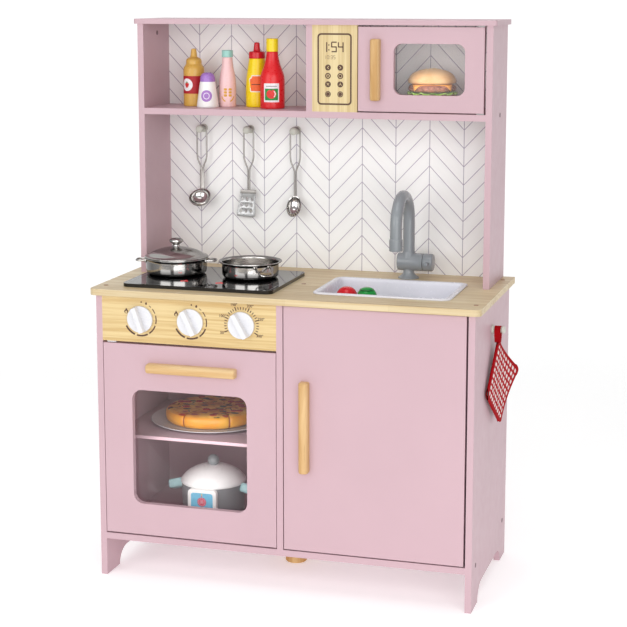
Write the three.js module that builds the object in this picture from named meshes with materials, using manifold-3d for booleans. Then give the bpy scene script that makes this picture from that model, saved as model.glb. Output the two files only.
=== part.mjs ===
// Wooden toy kitchen with an oven, a cupboard, a microwave, a sink and its play cookware.
// Millimetres, +Z up. Inside the kitchen group X is measured from the cabinet's middle and
// Y from the front edges of its lower panels; the group shifts all of it to the part's origin.

import * as THREE from "three";
import { mergeVertices } from "three/addons/utils/BufferGeometryUtils.js";
import Module from "manifold-3d";

const wasm = await Module();
wasm.setup();

// ---- Driving dimensions -------------------------------------------------------------------
const BOX_CENTRE_X = 11; // middle of the whole object, potholder included
const BOX_CENTRE_Y = 135;
const BOARD = 10; // painted board thickness
const BACK_BOARD = 4; // thin back panels
const HALF_WIDTH = 300; // outer faces of the lower side panels
const LOWER_DEPTH = 286;
const BACK_Y = 272; // front face of both back panels
const FLOOR_Z = 60; // underside of the bottom board
const COUNTER_Z = 455; // underside of the countertop
const COUNTER_TOP = COUNTER_Z + BOARD;
const COUNTER_SIDE_LIP = 9;
const COUNTER_FRONT_LIP = 8;
const UPPER_HALF = 290; // outer faces of the upper side panels
const UPPER_FRONT_Y = 160;
const TOP_Z = 870; // underside of the top board
const TOP_BOARD = { thick: 8, sideLip: 6, frontLip: 3 };
const SHELF_Z = 725; // underside of the long upper shelf
const SHELF_TOP = SHELF_Z + BOARD;
const ARCH_START = 50; // the cut-out between the feet of a side panel
const ARCH_END = 242;
const ARCH_HEIGHT = 25;
const ARCH_RUN = 30;
const FASCIA_Z = 383;
const OVEN_SHELF = { front: 40, z: 217, thick: 5 };
const FOOT = { x: -20, y: 150, radius: 17.5 };
const FIT = 0.05; // a pin pressed in its hole
const CLEARANCE = 0.3; // a part that turns, slides or rests in another

const OVEN_DOOR = { x0: -289, x1: -6, z0: 72.4, z1: 379.5 };
const OVEN_WINDOW = { x0: -242, x1: -53, z0: 123, z1: 307, radius: 16 };
const CABINET_DOOR = { x0: 6.5, x1: 287, z0: 72, z1: 453 };
const MICROWAVE_DOOR = { x0: 78.5, x1: 276.7, z0: 737, z1: 867.5 };
const MICROWAVE_WINDOW = { x0: 135, x1: 247, z0: 763, z1: 842, radius: 13 };
const MICROWAVE_DIVIDER_X = -6;
const MICROWAVE_FASCIA_END = 77;
const PANE = { thick: 2, margin: 7 };
const HANDLE = { width: 15, depth: 14 };
const OVEN_HANDLE = { length: 146, x: -141.7, z: 344 };
const CABINET_HANDLE = { length: 142, x: 40, z: 268 };
const MICROWAVE_HANDLE = { length: 95, x: 107, z: 801.5 };
const PIN = { radius: 2.5, reach: 5, bore: 6 };
const PIVOT_INSET = 5; // from a door's edge to its hinge line, half the door's thickness

const KNOB = { radius: 21, disc: 4, ridge: 11.5, half: 4.2, shaft: 3, z: 420, first: -226, pitch: 82.8 };
const KNOB_LEANS = [20, 26, 30]; // degrees that each grip leans to the left of upright
const HOB = { x0: -267, x1: -20, y0: 22.5, y1: 208, thick: 5.5, radius: 12 };
const HOB_TOP = COUNTER_TOP + HOB.thick;
const SINK = { x0: 36, x1: 252, y0: 45, y1: 195, rim: 3, lip: 7, wall: 2.5, depth: 38, radius: 15 };
const SINK_FLOOR = COUNTER_TOP + SINK.rim - SINK.depth;
const FAUCET = { x: 146, y: 228, baseRadius: 17, bodyRadius: 14.2, bodyZ: 491.7, x0: 128.8, x1: 170.2 };
const SPOUT = { radius: 9.4, reach: 88, springZ: 559, tipZ: 522, collar: 19 };
const LEVER = { x0: 171, x1: 187, rod: 3.2, reach: 25, pin: 4 };

const POT = { height: 27, wall: 1, wire: 1.5, reach: 66 };
const LEFT_POT = { x: -217.8, y: 135, turn: 13.5, droop: 0, radius: 49.5, rim: 52 };
const RIGHT_POT = { x: -91.2, y: 134, turn: -46.5, droop: 11, radius: 45.5, rim: 51 };
const HOOK_Z = 695;
const HOOK_X = [-219, -136.3, -55.3];
const UTENSIL = { y: 261, wire: 2.4, half: 9.5, straight: 58, neck: 73 };
const SIDE_HOOK = { y: 137, z: 408 };
const HOLDER = {
  side: 100.5, thick: 4.5, tilt: 6, slope: 0.1, bendRadius: 200, x: 310.5, y: 145.3, z: 324,
};
const RIBBON = { x: 305.3, width: 8, half: 7.7, thick: 1.5, bottomZ: 390.5 };
const PLATE = { x: -168, y: 160, radius: 101, flat: 80, lift: 5.5, thick: 1.5 };
const PIZZA = { radius: 77, thick: 24 };
const COOKER = { x: -154, y: 125, radius: 52, rim: 62 };
const BURGER = { x: 184, y: 215, radius: 38 };
const TOMATO = { x: 74, y: 115, radius: 16, height: 33 };
const PEPPER = { x: 107, y: 113, radius: 15, height: 34 };

// ---- Materials ----------------------------------------------------------------------------
const paint = (color, roughness, metalness = 0) =>
  new THREE.MeshStandardMaterial({ color, roughness, metalness });
const PINK = paint(0xeac3cd, 0.5);
const VENEER = paint(0xe9cf98, 0.55);
const COUNTER_WOOD = paint(0xe2cda6, 0.5);
const HANDLE_WOOD = paint(0xe3bf85, 0.6);
const TILE = paint(0xf2efee, 0.45);
const CLEAR = new THREE.MeshStandardMaterial({
  color: 0xdfe3e4, roughness: 0.1, transparent: true, opacity: 0.25,
});
const WHITE_PLASTIC = paint(0xf0f0f2, 0.35);
const GREY_PLASTIC = paint(0x8d9398, 0.3);
const BLACK_GLOSS = paint(0x141416, 0.12);
const PEG_WOOD = paint(0xe6e2da, 0.6);
const STEEL = paint(0xb9b7b3, 0.25, 1);
const CLOTH = paint(0xc8443f, 0.9);
const LEG_WOOD = paint(0xdfc79b, 0.6);

// ---- Geometry helpers ---------------------------------------------------------------------
const rad = THREE.MathUtils.degToRad;
const V3 = (x, y, z) => new THREE.Vector3(x, y, z);

function board(x0, x1, y0, y1, z0, z1) {
  return new THREE.BoxGeometry(x1 - x0, y1 - y0, z1 - z0)
    .translate((x0 + x1) / 2, (y0 + y1) / 2, (z0 + z1) / 2);
}

function toSolid(geometry) {
  const bare = geometry.clone();
  bare.deleteAttribute("normal");
  bare.deleteAttribute("uv");
  const merged = mergeVertices(bare, 1e-4);
  return new wasm.Manifold(new wasm.Mesh({
    numProp: 3,
    vertProperties: new Float32Array(merged.attributes.position.array),
    triVerts: new Uint32Array(merged.index.array),
  }));
}

function toGeometry(solid) {
  const mesh = solid.getMesh();
  const geometry = new THREE.BufferGeometry();
  geometry.setAttribute("position", new THREE.BufferAttribute(new Float32Array(mesh.vertProperties), 3));
  geometry.setIndex(new THREE.BufferAttribute(new Uint32Array(mesh.triVerts), 1));
  geometry.computeVertexNormals();
  return geometry;
}

function join(first, ...others) {
  return toGeometry(others.reduce((sum, g) => sum.add(toSolid(g)), toSolid(first)));
}

function cut(first, ...others) {
  return toGeometry(others.reduce((sum, g) => sum.subtract(toSolid(g)), toSolid(first)));
}

function roundedRect(a0, a1, b0, b1, r) {
  const shape = new THREE.Shape();
  shape.moveTo(a0 + r, b0);
  shape.lineTo(a1 - r, b0);
  shape.absarc(a1 - r, b0 + r, r, -Math.PI / 2, 0);
  shape.absarc(a1 - r, b1 - r, r, 0, Math.PI / 2);
  shape.absarc(a0 + r, b1 - r, r, Math.PI / 2, Math.PI);
  shape.absarc(a0 + r, b0 + r, r, Math.PI, 1.5 * Math.PI);
  return shape;
}

function extrude(shape, depth, curveSegments = 5) {
  return new THREE.ExtrudeGeometry(shape, { depth, bevelEnabled: false, curveSegments });
}

// A slab lying flat, with its four upright edges rounded.
function flatSlab(x0, x1, y0, y1, z0, z1, r) {
  return extrude(roundedRect(x0, x1, y0, y1, r), z1 - z0).translate(0, 0, z0);
}

// A slab standing across the kitchen, with its four corners rounded in the XZ plane.
function uprightSlab(x0, x1, y0, y1, z0, z1, r) {
  return extrude(roundedRect(x0, x1, z0, z1, r), y1 - y0).rotateX(Math.PI / 2).translate(0, y1, 0);
}

// A turned shape: [radius, height] points from the axis and back to it, standing along +Z.
function turned(profile, segments = 20) {
  return new THREE.LatheGeometry(profile.map(([r, z]) => new THREE.Vector2(r, z)), segments)
    .rotateX(Math.PI / 2);
}

function rod(radius, length, segments = 12) {
  return turned([[0, 0], [radius, 0], [radius, length], [0, length]], segments);
}

const alongX = (g) => g.rotateY(Math.PI / 2);
const towardsFront = (g) => g.rotateX(Math.PI / 2);

// A round bar bent along a curve.
function bar(curve, radius, steps, sides = 8) {
  const section = new THREE.Shape();
  for (let i = 0; i < sides; i++) {
    const a = (2 * Math.PI * i) / sides;
    const point = [radius * Math.cos(a), radius * Math.sin(a)];
    if (i === 0) section.moveTo(...point);
    else section.lineTo(...point);
  }
  return new THREE.ExtrudeGeometry(section, { steps, extrudePath: curve, bevelEnabled: false });
}

const kitchen = new THREE.Group();
kitchen.position.set(-BOX_CENTRE_X, -BOX_CENTRE_Y, 0);

function part(name, geometry, material, x = 0, y = 0, z = 0) {
  const mesh = new THREE.Mesh(geometry, material);
  mesh.name = name;
  mesh.position.set(x, y, z);
  kitchen.add(mesh);
  return mesh;
}

// ---- Lower cabinet ------------------------------------------------------------------------
// The outline of a side panel, seen from the right, with the arch between its two feet.
function sidePanelShape() {
  const shape = new THREE.Shape();
  shape.moveTo(0, 0);
  shape.lineTo(ARCH_START, 0);
  shape.absellipse(ARCH_START + ARCH_RUN, 0, ARCH_RUN, ARCH_HEIGHT, Math.PI, Math.PI / 2, true);
  shape.lineTo(ARCH_END - ARCH_RUN, ARCH_HEIGHT);
  shape.absellipse(ARCH_END - ARCH_RUN, 0, ARCH_RUN, ARCH_HEIGHT, Math.PI / 2, 0, true);
  shape.lineTo(LOWER_DEPTH, 0);
  shape.lineTo(LOWER_DEPTH, COUNTER_Z);
  shape.lineTo(0, COUNTER_Z);
  return shape;
}

// The extruded outline stands in the YZ plane, its thickness running along +X from x0.
function sidePanel(x0) {
  return extrude(sidePanelShape(), BOARD, 6).rotateZ(Math.PI / 2).rotateY(Math.PI / 2).translate(x0, 0, 0);
}

const bore = PIN.radius + CLEARANCE;
const ovenPivotZ = OVEN_DOOR.z0 + PIVOT_INSET;
const cabinetPivotX = CABINET_DOOR.x1 - PIVOT_INSET;
const microwavePivotX = MICROWAVE_DOOR.x1 - PIVOT_INSET;
const microwavePivotY = UPPER_FRONT_Y + PIVOT_INSET;

function lowerCabinet() {
  const inside = HALF_WIDTH - BOARD;
  const half = BOARD / 2;
  const ovenBore = (x) => alongX(rod(bore, PIN.bore + 1)).translate(x, PIVOT_INSET, ovenPivotZ);
  const uprightBore = (z) => rod(bore, PIN.bore + 1).translate(cabinetPivotX, PIVOT_INSET, z);
  part("left_side_panel", cut(sidePanel(-HALF_WIDTH), ovenBore(-inside - PIN.bore)), PINK);
  part("right_side_panel", sidePanel(inside), PINK);
  part("centre_divider", cut(board(-half, half, 0, BACK_Y, FLOOR_Z + BOARD, COUNTER_Z),
    ovenBore(-half - 1)), PINK);
  part("bottom_board", cut(board(-inside, inside, 0, BACK_Y, FLOOR_Z, FLOOR_Z + BOARD),
    uprightBore(FLOOR_Z + BOARD - PIN.bore)), PINK);
  part("lower_back_panel", board(-inside, inside, BACK_Y, BACK_Y + BACK_BOARD, FLOOR_Z, COUNTER_Z), PINK);
  part("oven_shelf", board(-inside, -half, OVEN_SHELF.front, BACK_Y, OVEN_SHELF.z,
    OVEN_SHELF.z + OVEN_SHELF.thick), PINK);
  part("centre_foot", turned([[0, 0], [FOOT.radius - 1.5, 0], [FOOT.radius, 1.5], [FOOT.radius, FLOOR_Z],
    [0, FLOOR_Z]], 28), LEG_WOOD, FOOT.x, FOOT.y);
}

function controlFascia() {
  const holes = [0, 1, 2].map((i) => towardsFront(rod(KNOB.shaft + CLEARANCE, BOARD + 2))
    .translate(KNOB.first + i * KNOB.pitch, BOARD + 1, KNOB.z));
  const panel = board(-HALF_WIDTH + BOARD, -BOARD / 2, 0, BOARD, FASCIA_Z, COUNTER_Z);
  part("control_fascia", cut(panel, ...holes), VENEER);
}

// ---- Countertop and what stands on it -----------------------------------------------------
function countertop() {
  const x1 = HALF_WIDTH + COUNTER_SIDE_LIP;
  const gap = 1;
  const slab = flatSlab(-x1, x1, -COUNTER_FRONT_LIP, LOWER_DEPTH, COUNTER_Z, COUNTER_TOP, 10);
  const square = board(-x1, x1, LOWER_DEPTH - 12, LOWER_DEPTH, COUNTER_Z, COUNTER_TOP);
  const sinkHole = flatSlab(SINK.x0 + SINK.lip - gap, SINK.x1 - SINK.lip + gap, SINK.y0 + SINK.lip - gap,
    SINK.y1 - SINK.lip + gap, COUNTER_Z - 1, COUNTER_TOP + 1, SINK.radius - SINK.lip + gap);
  const pinHole = rod(bore, PIN.bore + 1).translate(cabinetPivotX, PIVOT_INSET, COUNTER_Z - 1);
  part("countertop", toGeometry(toSolid(slab).add(toSolid(square)).subtract(toSolid(sinkHole))
    .subtract(toSolid(pinHole))), COUNTER_WOOD);
}

function hob() {
  const plate = flatSlab(HOB.x0, HOB.x1, HOB.y0, HOB.y1, COUNTER_TOP, HOB_TOP, HOB.radius);
  part("hob_plate", plate, BLACK_GLOSS);
}

function sink() {
  const { x0, x1, y0, y1, lip, wall, radius } = SINK;
  const top = COUNTER_TOP + SINK.rim;
  // The sink's outline, drawn in all round by d, from one height up to another.
  const inset = (d, z0, z1) => flatSlab(x0 + d, x1 - d, y0 + d, y1 - d, z0, z1, radius - d);
  const rim = inset(0, COUNTER_TOP, top);
  const tub = inset(lip, SINK_FLOOR - wall, COUNTER_TOP + 1);
  const hollow = inset(lip + wall, SINK_FLOOR, top + 1);
  part("sink_basin", toGeometry(toSolid(rim).add(toSolid(tub)).subtract(toSolid(hollow))), WHITE_PLASTIC);
}

function faucet() {
  const { x, y, baseRadius, bodyRadius, bodyZ, x0, x1 } = FAUCET;
  const foot = turned([[0, 0], [baseRadius, 0], [baseRadius, 2], [8.5, 9], [8.5, 22], [0, 22]], 20)
    .translate(x, y, COUNTER_TOP);
  const body = alongX(rod(bodyRadius, x1 - x0, 20)).translate(x0, y, bodyZ);
  const spoutBore = rod(SPOUT.radius + 0.4, 30, 16).translate(x, y, bodyZ);
  const leverBore = alongX(rod(LEVER.pin + CLEARANCE, 12)).translate(x1 - 10, y, bodyZ);
  part("faucet_base", toGeometry(toSolid(foot).add(toSolid(body)).subtract(toSolid(spoutBore))
    .subtract(toSolid(leverBore))), GREY_PLASTIC);

  const path = new THREE.CurvePath();
  const bend = SPOUT.reach / 2;
  const startZ = bodyZ + 0.5;
  path.add(new THREE.LineCurve3(V3(0, 0, startZ), V3(0, 0, SPOUT.springZ)));
  path.add(new ArchCurve(bend, SPOUT.springZ));
  path.add(new THREE.LineCurve3(V3(0, -SPOUT.reach, SPOUT.springZ), V3(0, -SPOUT.reach, SPOUT.tipZ + 5)));
  const tube = bar(path, SPOUT.radius, 18, 12);
  const collar = rod(SPOUT.radius + 1.1, SPOUT.collar, 16).translate(0, -SPOUT.reach, SPOUT.tipZ);
  const nozzle = rod(6.5, 12).translate(0, -SPOUT.reach, SPOUT.tipZ - 1);
  const spout = toSolid(tube).add(toSolid(collar)).subtract(toSolid(nozzle));
  part("faucet_spout", toGeometry(spout), GREY_PLASTIC, x, y);

  const cap = alongX(rod(bodyRadius, LEVER.x1 - LEVER.x0, 20)).translate(LEVER.x0, y, bodyZ);
  const pin = alongX(rod(LEVER.pin, 10)).translate(LEVER.x0 - 9, y, bodyZ);
  const stick = towardsFront(rod(LEVER.rod, LEVER.reach)).translate((LEVER.x0 + LEVER.x1) / 2, y, bodyZ);
  part("faucet_lever", join(cap, pin, stick), GREY_PLASTIC);
}

// ---- Upper unit ---------------------------------------------------------------------------
function upperUnit() {
  const inside = UPPER_HALF - BOARD;
  const x1 = UPPER_HALF + TOP_BOARD.sideLip;
  const hingeHole = (z) => rod(bore, PIN.bore + 1).translate(microwavePivotX, microwavePivotY, z);
  const sideBoard = (x0) => board(x0, x0 + BOARD, UPPER_FRONT_Y, LOWER_DEPTH, COUNTER_TOP, TOP_Z);
  part("upper_left_panel", sideBoard(-UPPER_HALF), PINK);
  part("upper_right_panel", sideBoard(inside), PINK);
  const frontY = UPPER_FRONT_Y - TOP_BOARD.frontLip;
  const top = flatSlab(-x1, x1, frontY, LOWER_DEPTH, TOP_Z, TOP_Z + TOP_BOARD.thick, 5);
  part("top_board", cut(top, hingeHole(TOP_Z - 1)), PINK);
  part("upper_shelf", cut(board(-inside, inside, UPPER_FRONT_Y, BACK_Y, SHELF_Z, SHELF_TOP),
    hingeHole(SHELF_TOP - PIN.bore)), PINK);
  part("backsplash_panel", board(-inside, inside, BACK_Y, BACK_Y + BACK_BOARD, COUNTER_TOP, TOP_Z), TILE);
  part("microwave_divider", board(MICROWAVE_DIVIDER_X, MICROWAVE_DIVIDER_X + BOARD, UPPER_FRONT_Y, BACK_Y,
    SHELF_TOP, TOP_Z), PINK);
  part("microwave_fascia", board(MICROWAVE_DIVIDER_X + BOARD, MICROWAVE_FASCIA_END, UPPER_FRONT_Y,
    UPPER_FRONT_Y + BOARD, SHELF_TOP, TOP_Z), VENEER);
}

// ---- Doors --------------------------------------------------------------------------------
function windowHole(w, y) {
  return extrude(roundedRect(w.x0, w.x1, w.z0, w.z1, w.radius), BOARD + 2, 8).rotateX(Math.PI / 2)
    .translate(0, y + BOARD + 1, 0);
}

function pane(w, y) {
  const m = PANE.margin;
  const front = y + BOARD;
  return uprightSlab(w.x0 - m, w.x1 + m, front, front + PANE.thick, w.z0 - m, w.z1 + m, w.radius + m);
}

// A half-round bar of wood with its flat side on the door, its length along X.
function handleBar(length) {
  const profile = new THREE.Shape();
  const straight = HANDLE.depth - HANDLE.width / 2;
  profile.moveTo(HANDLE.width / 2, 0);
  profile.lineTo(HANDLE.width / 2, straight);
  profile.absarc(0, straight, HANDLE.width / 2, 0, Math.PI);
  profile.lineTo(-HANDLE.width / 2, 0);
  return extrude(profile, length, 8).translate(0, 0, -length / 2).rotateY(Math.PI / 2).rotateX(Math.PI);
}

const uprightPinHole = (d, y, z) =>
  rod(PIN.radius + FIT, PIN.reach + 1).translate(d.x1 - PIVOT_INSET, y, z);

function ovenDoor() {
  const d = OVEN_DOOR;
  const hole = (x) => alongX(rod(PIN.radius + FIT, PIN.reach + 1)).translate(x, PIVOT_INSET, ovenPivotZ);
  part("oven_door", cut(board(d.x0, d.x1, 0, BOARD, d.z0, d.z1), windowHole(OVEN_WINDOW, 0),
    hole(d.x0 - 1), hole(d.x1 - PIN.reach)), PINK);
  part("oven_window", pane(OVEN_WINDOW, 0), CLEAR);
  const { length, x, z } = OVEN_HANDLE;
  part("oven_handle", handleBar(length), HANDLE_WOOD, x, 0, z);
  const pin = () => alongX(rod(PIN.radius, PIN.reach + PIN.bore));
  part("oven_hinge_pin_left", pin(), STEEL, d.x0 - PIN.bore, PIVOT_INSET, ovenPivotZ);
  part("oven_hinge_pin_right", pin(), STEEL, d.x1 - PIN.reach, PIVOT_INSET, ovenPivotZ);
}

function uprightDoorPins(prefix, d, y) {
  const length = PIN.reach + PIN.bore + 1;
  const x = d.x1 - PIVOT_INSET;
  part(`${prefix}_hinge_pin_lower`, rod(PIN.radius, length), STEEL, x, y, d.z0 + PIN.reach - length);
  part(`${prefix}_hinge_pin_upper`, rod(PIN.radius, length), STEEL, x, y, d.z1 - PIN.reach);
}

function cabinetDoor() {
  const d = CABINET_DOOR;
  part("cabinet_door", cut(board(d.x0, d.x1, 0, BOARD, d.z0, d.z1),
    uprightPinHole(d, PIVOT_INSET, d.z0 - 1), uprightPinHole(d, PIVOT_INSET, d.z1 - PIN.reach)), PINK);
  const { length, x, z } = CABINET_HANDLE;
  part("cabinet_handle", handleBar(length).rotateY(Math.PI / 2), HANDLE_WOOD, x, 0, z);
  uprightDoorPins("cabinet", d, PIVOT_INSET);
}

function microwaveDoor() {
  const d = MICROWAVE_DOOR;
  const y = UPPER_FRONT_Y;
  part("microwave_door", cut(board(d.x0, d.x1, y, y + BOARD, d.z0, d.z1), windowHole(MICROWAVE_WINDOW, y),
    uprightPinHole(d, microwavePivotY, d.z0 - 1),
    uprightPinHole(d, microwavePivotY, d.z1 - PIN.reach)), PINK);
  part("microwave_window", pane(MICROWAVE_WINDOW, y), CLEAR);
  const { length, x, z } = MICROWAVE_HANDLE;
  part("microwave_handle", handleBar(length).rotateY(Math.PI / 2), HANDLE_WOOD, x, y, z);
  uprightDoorPins("microwave", d, microwavePivotY);
}

// ---- Knobs --------------------------------------------------------------------------------
function knobs() {
  const { radius, disc, ridge, half, shaft, z, first, pitch } = KNOB;
  const names = ["left_knob", "middle_knob", "right_knob"];
  const face = turned([[0, 0], [radius, 0], [radius, disc - 0.7], [radius - 0.7, disc], [0, disc]], 24);
  const block = board(-radius, radius, -half, half, disc - 1, disc + ridge);
  const grip = toGeometry(toSolid(block).intersect(toSolid(rod(radius - 0.5, disc + ridge + 1, 24))));
  const stem = rod(shaft, 19).translate(0, 0, -18.5);
  names.forEach((name, i) => {
    const knob = join(face, grip, stem).rotateZ(rad(90 + KNOB_LEANS[i]));
    part(name, towardsFront(knob), WHITE_PLASTIC, first + i * pitch, -0.5, z);
  });
}

// ---- Hooks and hanging utensils -----------------------------------------------------------
function hooks() {
  const wallPeg = [[0, 0], [7, 0], [7, 2], [4, 6], [4, 17], [6.3, 19.3], [6.3, 24], [4.5, 26.5], [0, 27]];
  ["left_hook", "middle_hook", "right_hook"].forEach((name, i) => {
    part(name, towardsFront(turned(wallPeg, 16)), PEG_WOOD, HOOK_X[i], BACK_Y, HOOK_Z);
  });
  const sidePeg = [[0, 0], [7, 0], [7, 1.5], [4.2, 4.3], [4.2, 14], [5.8, 15.6], [5.8, 19], [4, 20.5],
    [0, 21]];
  part("side_hook", alongX(turned(sidePeg, 16)), PEG_WOOD, HALF_WIDTH, SIDE_HOOK.y, SIDE_HOOK.z);
}

// The outline of a bent-wire handle: round at the top, straight sides, then drawn in to the stem.
function handleOutline(Path, half, bottomHalf, topZ, straightZ, neckZ) {
  const outline = new Path();
  outline.moveTo(-bottomHalf, neckZ);
  outline.lineTo(bottomHalf, neckZ);
  outline.lineTo(half, straightZ);
  outline.absarc(0, topZ - half, half, 0, Math.PI);
  outline.lineTo(-half, straightZ);
  outline.closePath();
  return outline;
}

// A utensil's wire handle and stem, with the top of the loop resting on a hook's neck at z = 0.
function utensilHandle(stemEnd) {
  const { wire, half, straight, neck } = UTENSIL;
  const topZ = 4 + CLEARANCE + wire;
  const shape = handleOutline(THREE.Shape, half, wire, topZ, topZ - straight, topZ - neck);
  shape.holes.push(handleOutline(THREE.Path, half - wire, 0.4, topZ - wire, topZ - straight + 1,
    topZ - neck + 6));
  const ring = extrude(shape, wire, 6).rotateX(Math.PI / 2).translate(0, wire / 2, 0);
  return join(ring, board(-2.2, 2.2, -wire / 2, wire / 2, stemEnd, topZ - neck + 2));
}

// A round bowl of thin sheet, open towards +Z, its rim at z = 0.
function bowl(radius, depth, wall) {
  const outer = [];
  const inner = [];
  const steps = 5;
  for (let i = 0; i <= steps; i++) {
    const a = (Math.PI / 2) * (i / steps);
    outer.push([radius * Math.sin(a), -depth * Math.cos(a)]);
    inner.unshift([(radius - wall) * Math.sin(a), -(depth - wall) * Math.cos(a)]);
  }
  outer[0][0] = 0;
  inner[inner.length - 1][0] = 0;
  return turned([...outer, ...inner], 16);
}

function ladle() {
  const scoop = bowl(18.2, 14, 1.4).rotateX(rad(40)).translate(0, -12.8, -113.5);
  return join(utensilHandle(-105), scoop);
}

function turner() {
  const blade = new THREE.Shape();
  blade.moveTo(-14, 0);
  blade.lineTo(-22, -41.5);
  blade.lineTo(10.5, -43);
  blade.lineTo(12.5, 0);
  const sheet = extrude(blade, 1.4).rotateX(Math.PI / 2).translate(0, 0.7, -103);
  return join(utensilHandle(-107), sheet);
}

function pastaServer() {
  const scoop = bowl(15, 12, 1.4).scale(0.85, 1.2, 1).rotateX(rad(62)).translate(0, -8.4, -123);
  const teeth = [];
  for (let i = 0; i < 7; i++) {
    const a = rad(205 + i * 21.7);
    teeth.push(rod(1.3, 9, 5).translate(11.2 * Math.cos(a), 15.8 * Math.sin(a), -3)
      .rotateX(rad(62)).translate(0, -8.4, -123));
  }
  return join(utensilHandle(-109.5), scoop, ...teeth);
}

function utensils() {
  const rows = [["ladle", ladle()], ["turner", turner()], ["pasta_server", pastaServer()]];
  rows.forEach(([name, geometry], i) => {
    part(name, geometry, STEEL, HOOK_X[i], UTENSIL.y, HOOK_Z);
  });
}

// A square pad hung by one corner and a little askew: it leans away from the panel towards the
// back, where it also bends outwards.
function potHolder() {
  const { side, thick, tilt, slope, bendRadius, x, y, z } = HOLDER;
  const pad = new THREE.BoxGeometry(side, side, thick, 8, 8, 1);
  const p = pad.attributes.position;
  for (let i = 0; i < p.count; i++) {
    const isCorner = Math.abs(p.getX(i)) + Math.abs(p.getY(i)) > side * 0.99;
    const trim = isCorner ? 0.955 : 1;
    p.setXY(i, p.getX(i) * trim, p.getY(i) * trim);
  }
  pad.rotateZ(Math.PI / 4 + rad(tilt));
  for (let i = 0; i < p.count; i++) {
    const s = p.getX(i);
    const turn = s > 0 ? s / bendRadius : 0;
    const out = p.getZ(i);
    const alongY = s > 0 ? bendRadius * Math.sin(turn) : s;
    const alongOut = slope * s + bendRadius * (1 - Math.cos(turn));
    p.setXYZ(i, alongOut + out * Math.cos(turn), alongY - out * Math.sin(turn), p.getY(i));
  }
  const { half, bottomZ } = RIBBON;
  const topZ = SIDE_HOOK.z + 4.2 + CLEARANCE + RIBBON.thick;
  const ring = new THREE.Shape();
  ring.moveTo(-half, bottomZ);
  ring.lineTo(half, bottomZ);
  ring.absarc(0, topZ - half, half, 0, Math.PI);
  const slot = new THREE.Path();
  const slotHalf = half - RIBBON.thick;
  slot.moveTo(-slotHalf, bottomZ + RIBBON.thick);
  slot.lineTo(slotHalf, bottomZ + RIBBON.thick);
  slot.absarc(0, topZ - half, slotHalf, 0, Math.PI);
  ring.holes.push(slot);
  const ribbon = extrude(ring, RIBBON.width, 6).rotateX(Math.PI / 2).rotateZ(Math.PI / 2)
    .translate(RIBBON.x, 0, 0);
  const neck = board(x - 3, x + 2, -3.5, 3.5, z + side * 0.6, bottomZ + 1);
  part("pot_holder", join(pad.translate(x, y - SIDE_HOOK.y, z), ribbon, neck), CLOTH, 0, SIDE_HOOK.y, 0);
}

// ---- Cookware -----------------------------------------------------------------------------
// A pan of thin sheet with a rolled rim and two wire handles, standing on z = 0.
function pot({ turn, droop, radius, rim }) {
  const { height, wall, wire, reach } = POT;
  const outer = [[0, 0], [radius - 8, 0], [radius - 3, 2], [radius, 7], [radius, height - 3.5],
    [rim, height - 1.5], [rim, height]];
  const inner = [[rim - 1.5, height], [radius - wall, height - 3], [radius - wall, 7.5], [radius - 4, 3],
    [radius - 8.5, wall], [0, wall]];
  const pieces = [];
  for (const flip of [0, 180]) {
    const root = Math.sqrt((radius - 0.6) ** 2 - 12 ** 2);
    const path = new THREE.CatmullRomCurve3([
      V3(root, -12, height - 6), V3(reach - 5, -11, height - 6 - droop * 0.75),
      V3(reach, -6, height - 6 - droop), V3(reach, 6, height - 6 - droop),
      V3(reach - 5, 11, height - 6 - droop * 0.75), V3(root, 12, height - 6)], false, "centripetal");
    pieces.push(bar(path, wire, 11, 6).rotateZ(rad(flip)));
  }
  return join(turned([...outer, ...inner], 20), ...pieces).rotateZ(rad(turn));
}

function lid() {
  const dome = [[0, 1], [48, 0.3], [51.5, 0], [51.5, 1.5], [46, 3], [38, 9], [23, 14.2], [8, 16.3]];
  const grip = [[3, 17.3], [3, 21.5], [8, 24], [10, 26.5], [9, 29.5], [4, 31], [0, 31]];
  return turned([...dome, ...grip], 20);
}

function cookware() {
  part("left_pot", pot(LEFT_POT), STEEL, LEFT_POT.x, LEFT_POT.y, HOB_TOP);
  part("right_pot", pot(RIGHT_POT), STEEL, RIGHT_POT.x, RIGHT_POT.y, HOB_TOP);
  part("pot_lid", lid(), STEEL, LEFT_POT.x, LEFT_POT.y, HOB_TOP + POT.height);
}

// ---- Play food and bottles ----------------------------------------------------------------
function bottles() {
  const rows = [
    ["honey_bottle", 0xd9a441, -220, 230, [[0, 0], [15, 0], [17, 2], [17, 55], [15.5, 65], [12.4, 69],
      [12, 76], [6.2, 80], [4, 94], [0, 94]]],
    ["pepper_shaker", 0xf1efec, -187, 205, [[0, 0], [16.5, 0], [18, 2], [17, 10], [12, 41], [12, 49],
      [8, 55.5], [0, 56.5]]],
    ["milk_bottle", 0xf0cfcf, -160, 226, [[0, 0], [12.5, 0], [14, 2], [14, 46], [8.2, 68], [8, 81],
      [9.2, 81], [9.2, 91], [0, 92]]],
    ["mustard_bottle", 0xf2d60f, -112.5, 236, [[0, 0], [17, 0], [18.7, 3], [18.2, 40], [12.5, 79],
      [13.2, 80], [13.2, 89], [6, 91], [4.5, 104], [0, 105]]],
    ["ketchup_bottle", 0xd8252c, -77.5, 209, [[0, 0], [18, 0], [20, 2], [20, 52], [13, 68], [9, 91],
      [9.6, 92], [9.6, 111.5], [0, 112]]],
  ];
  for (const [name, colour, x, y, profile] of rows) {
    part(name, turned(profile, 18), paint(colour, 0.35), x, y, SHELF_TOP);
  }
}

function vegetable({ radius: r, height: h }) {
  return turned([[0, 0], [r * 0.6, 0.5], [r * 0.93, h * 0.25], [r, h * 0.5], [r * 0.86, h * 0.78],
    [r * 0.5, h * 0.96], [0, h]], 16);
}

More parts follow.
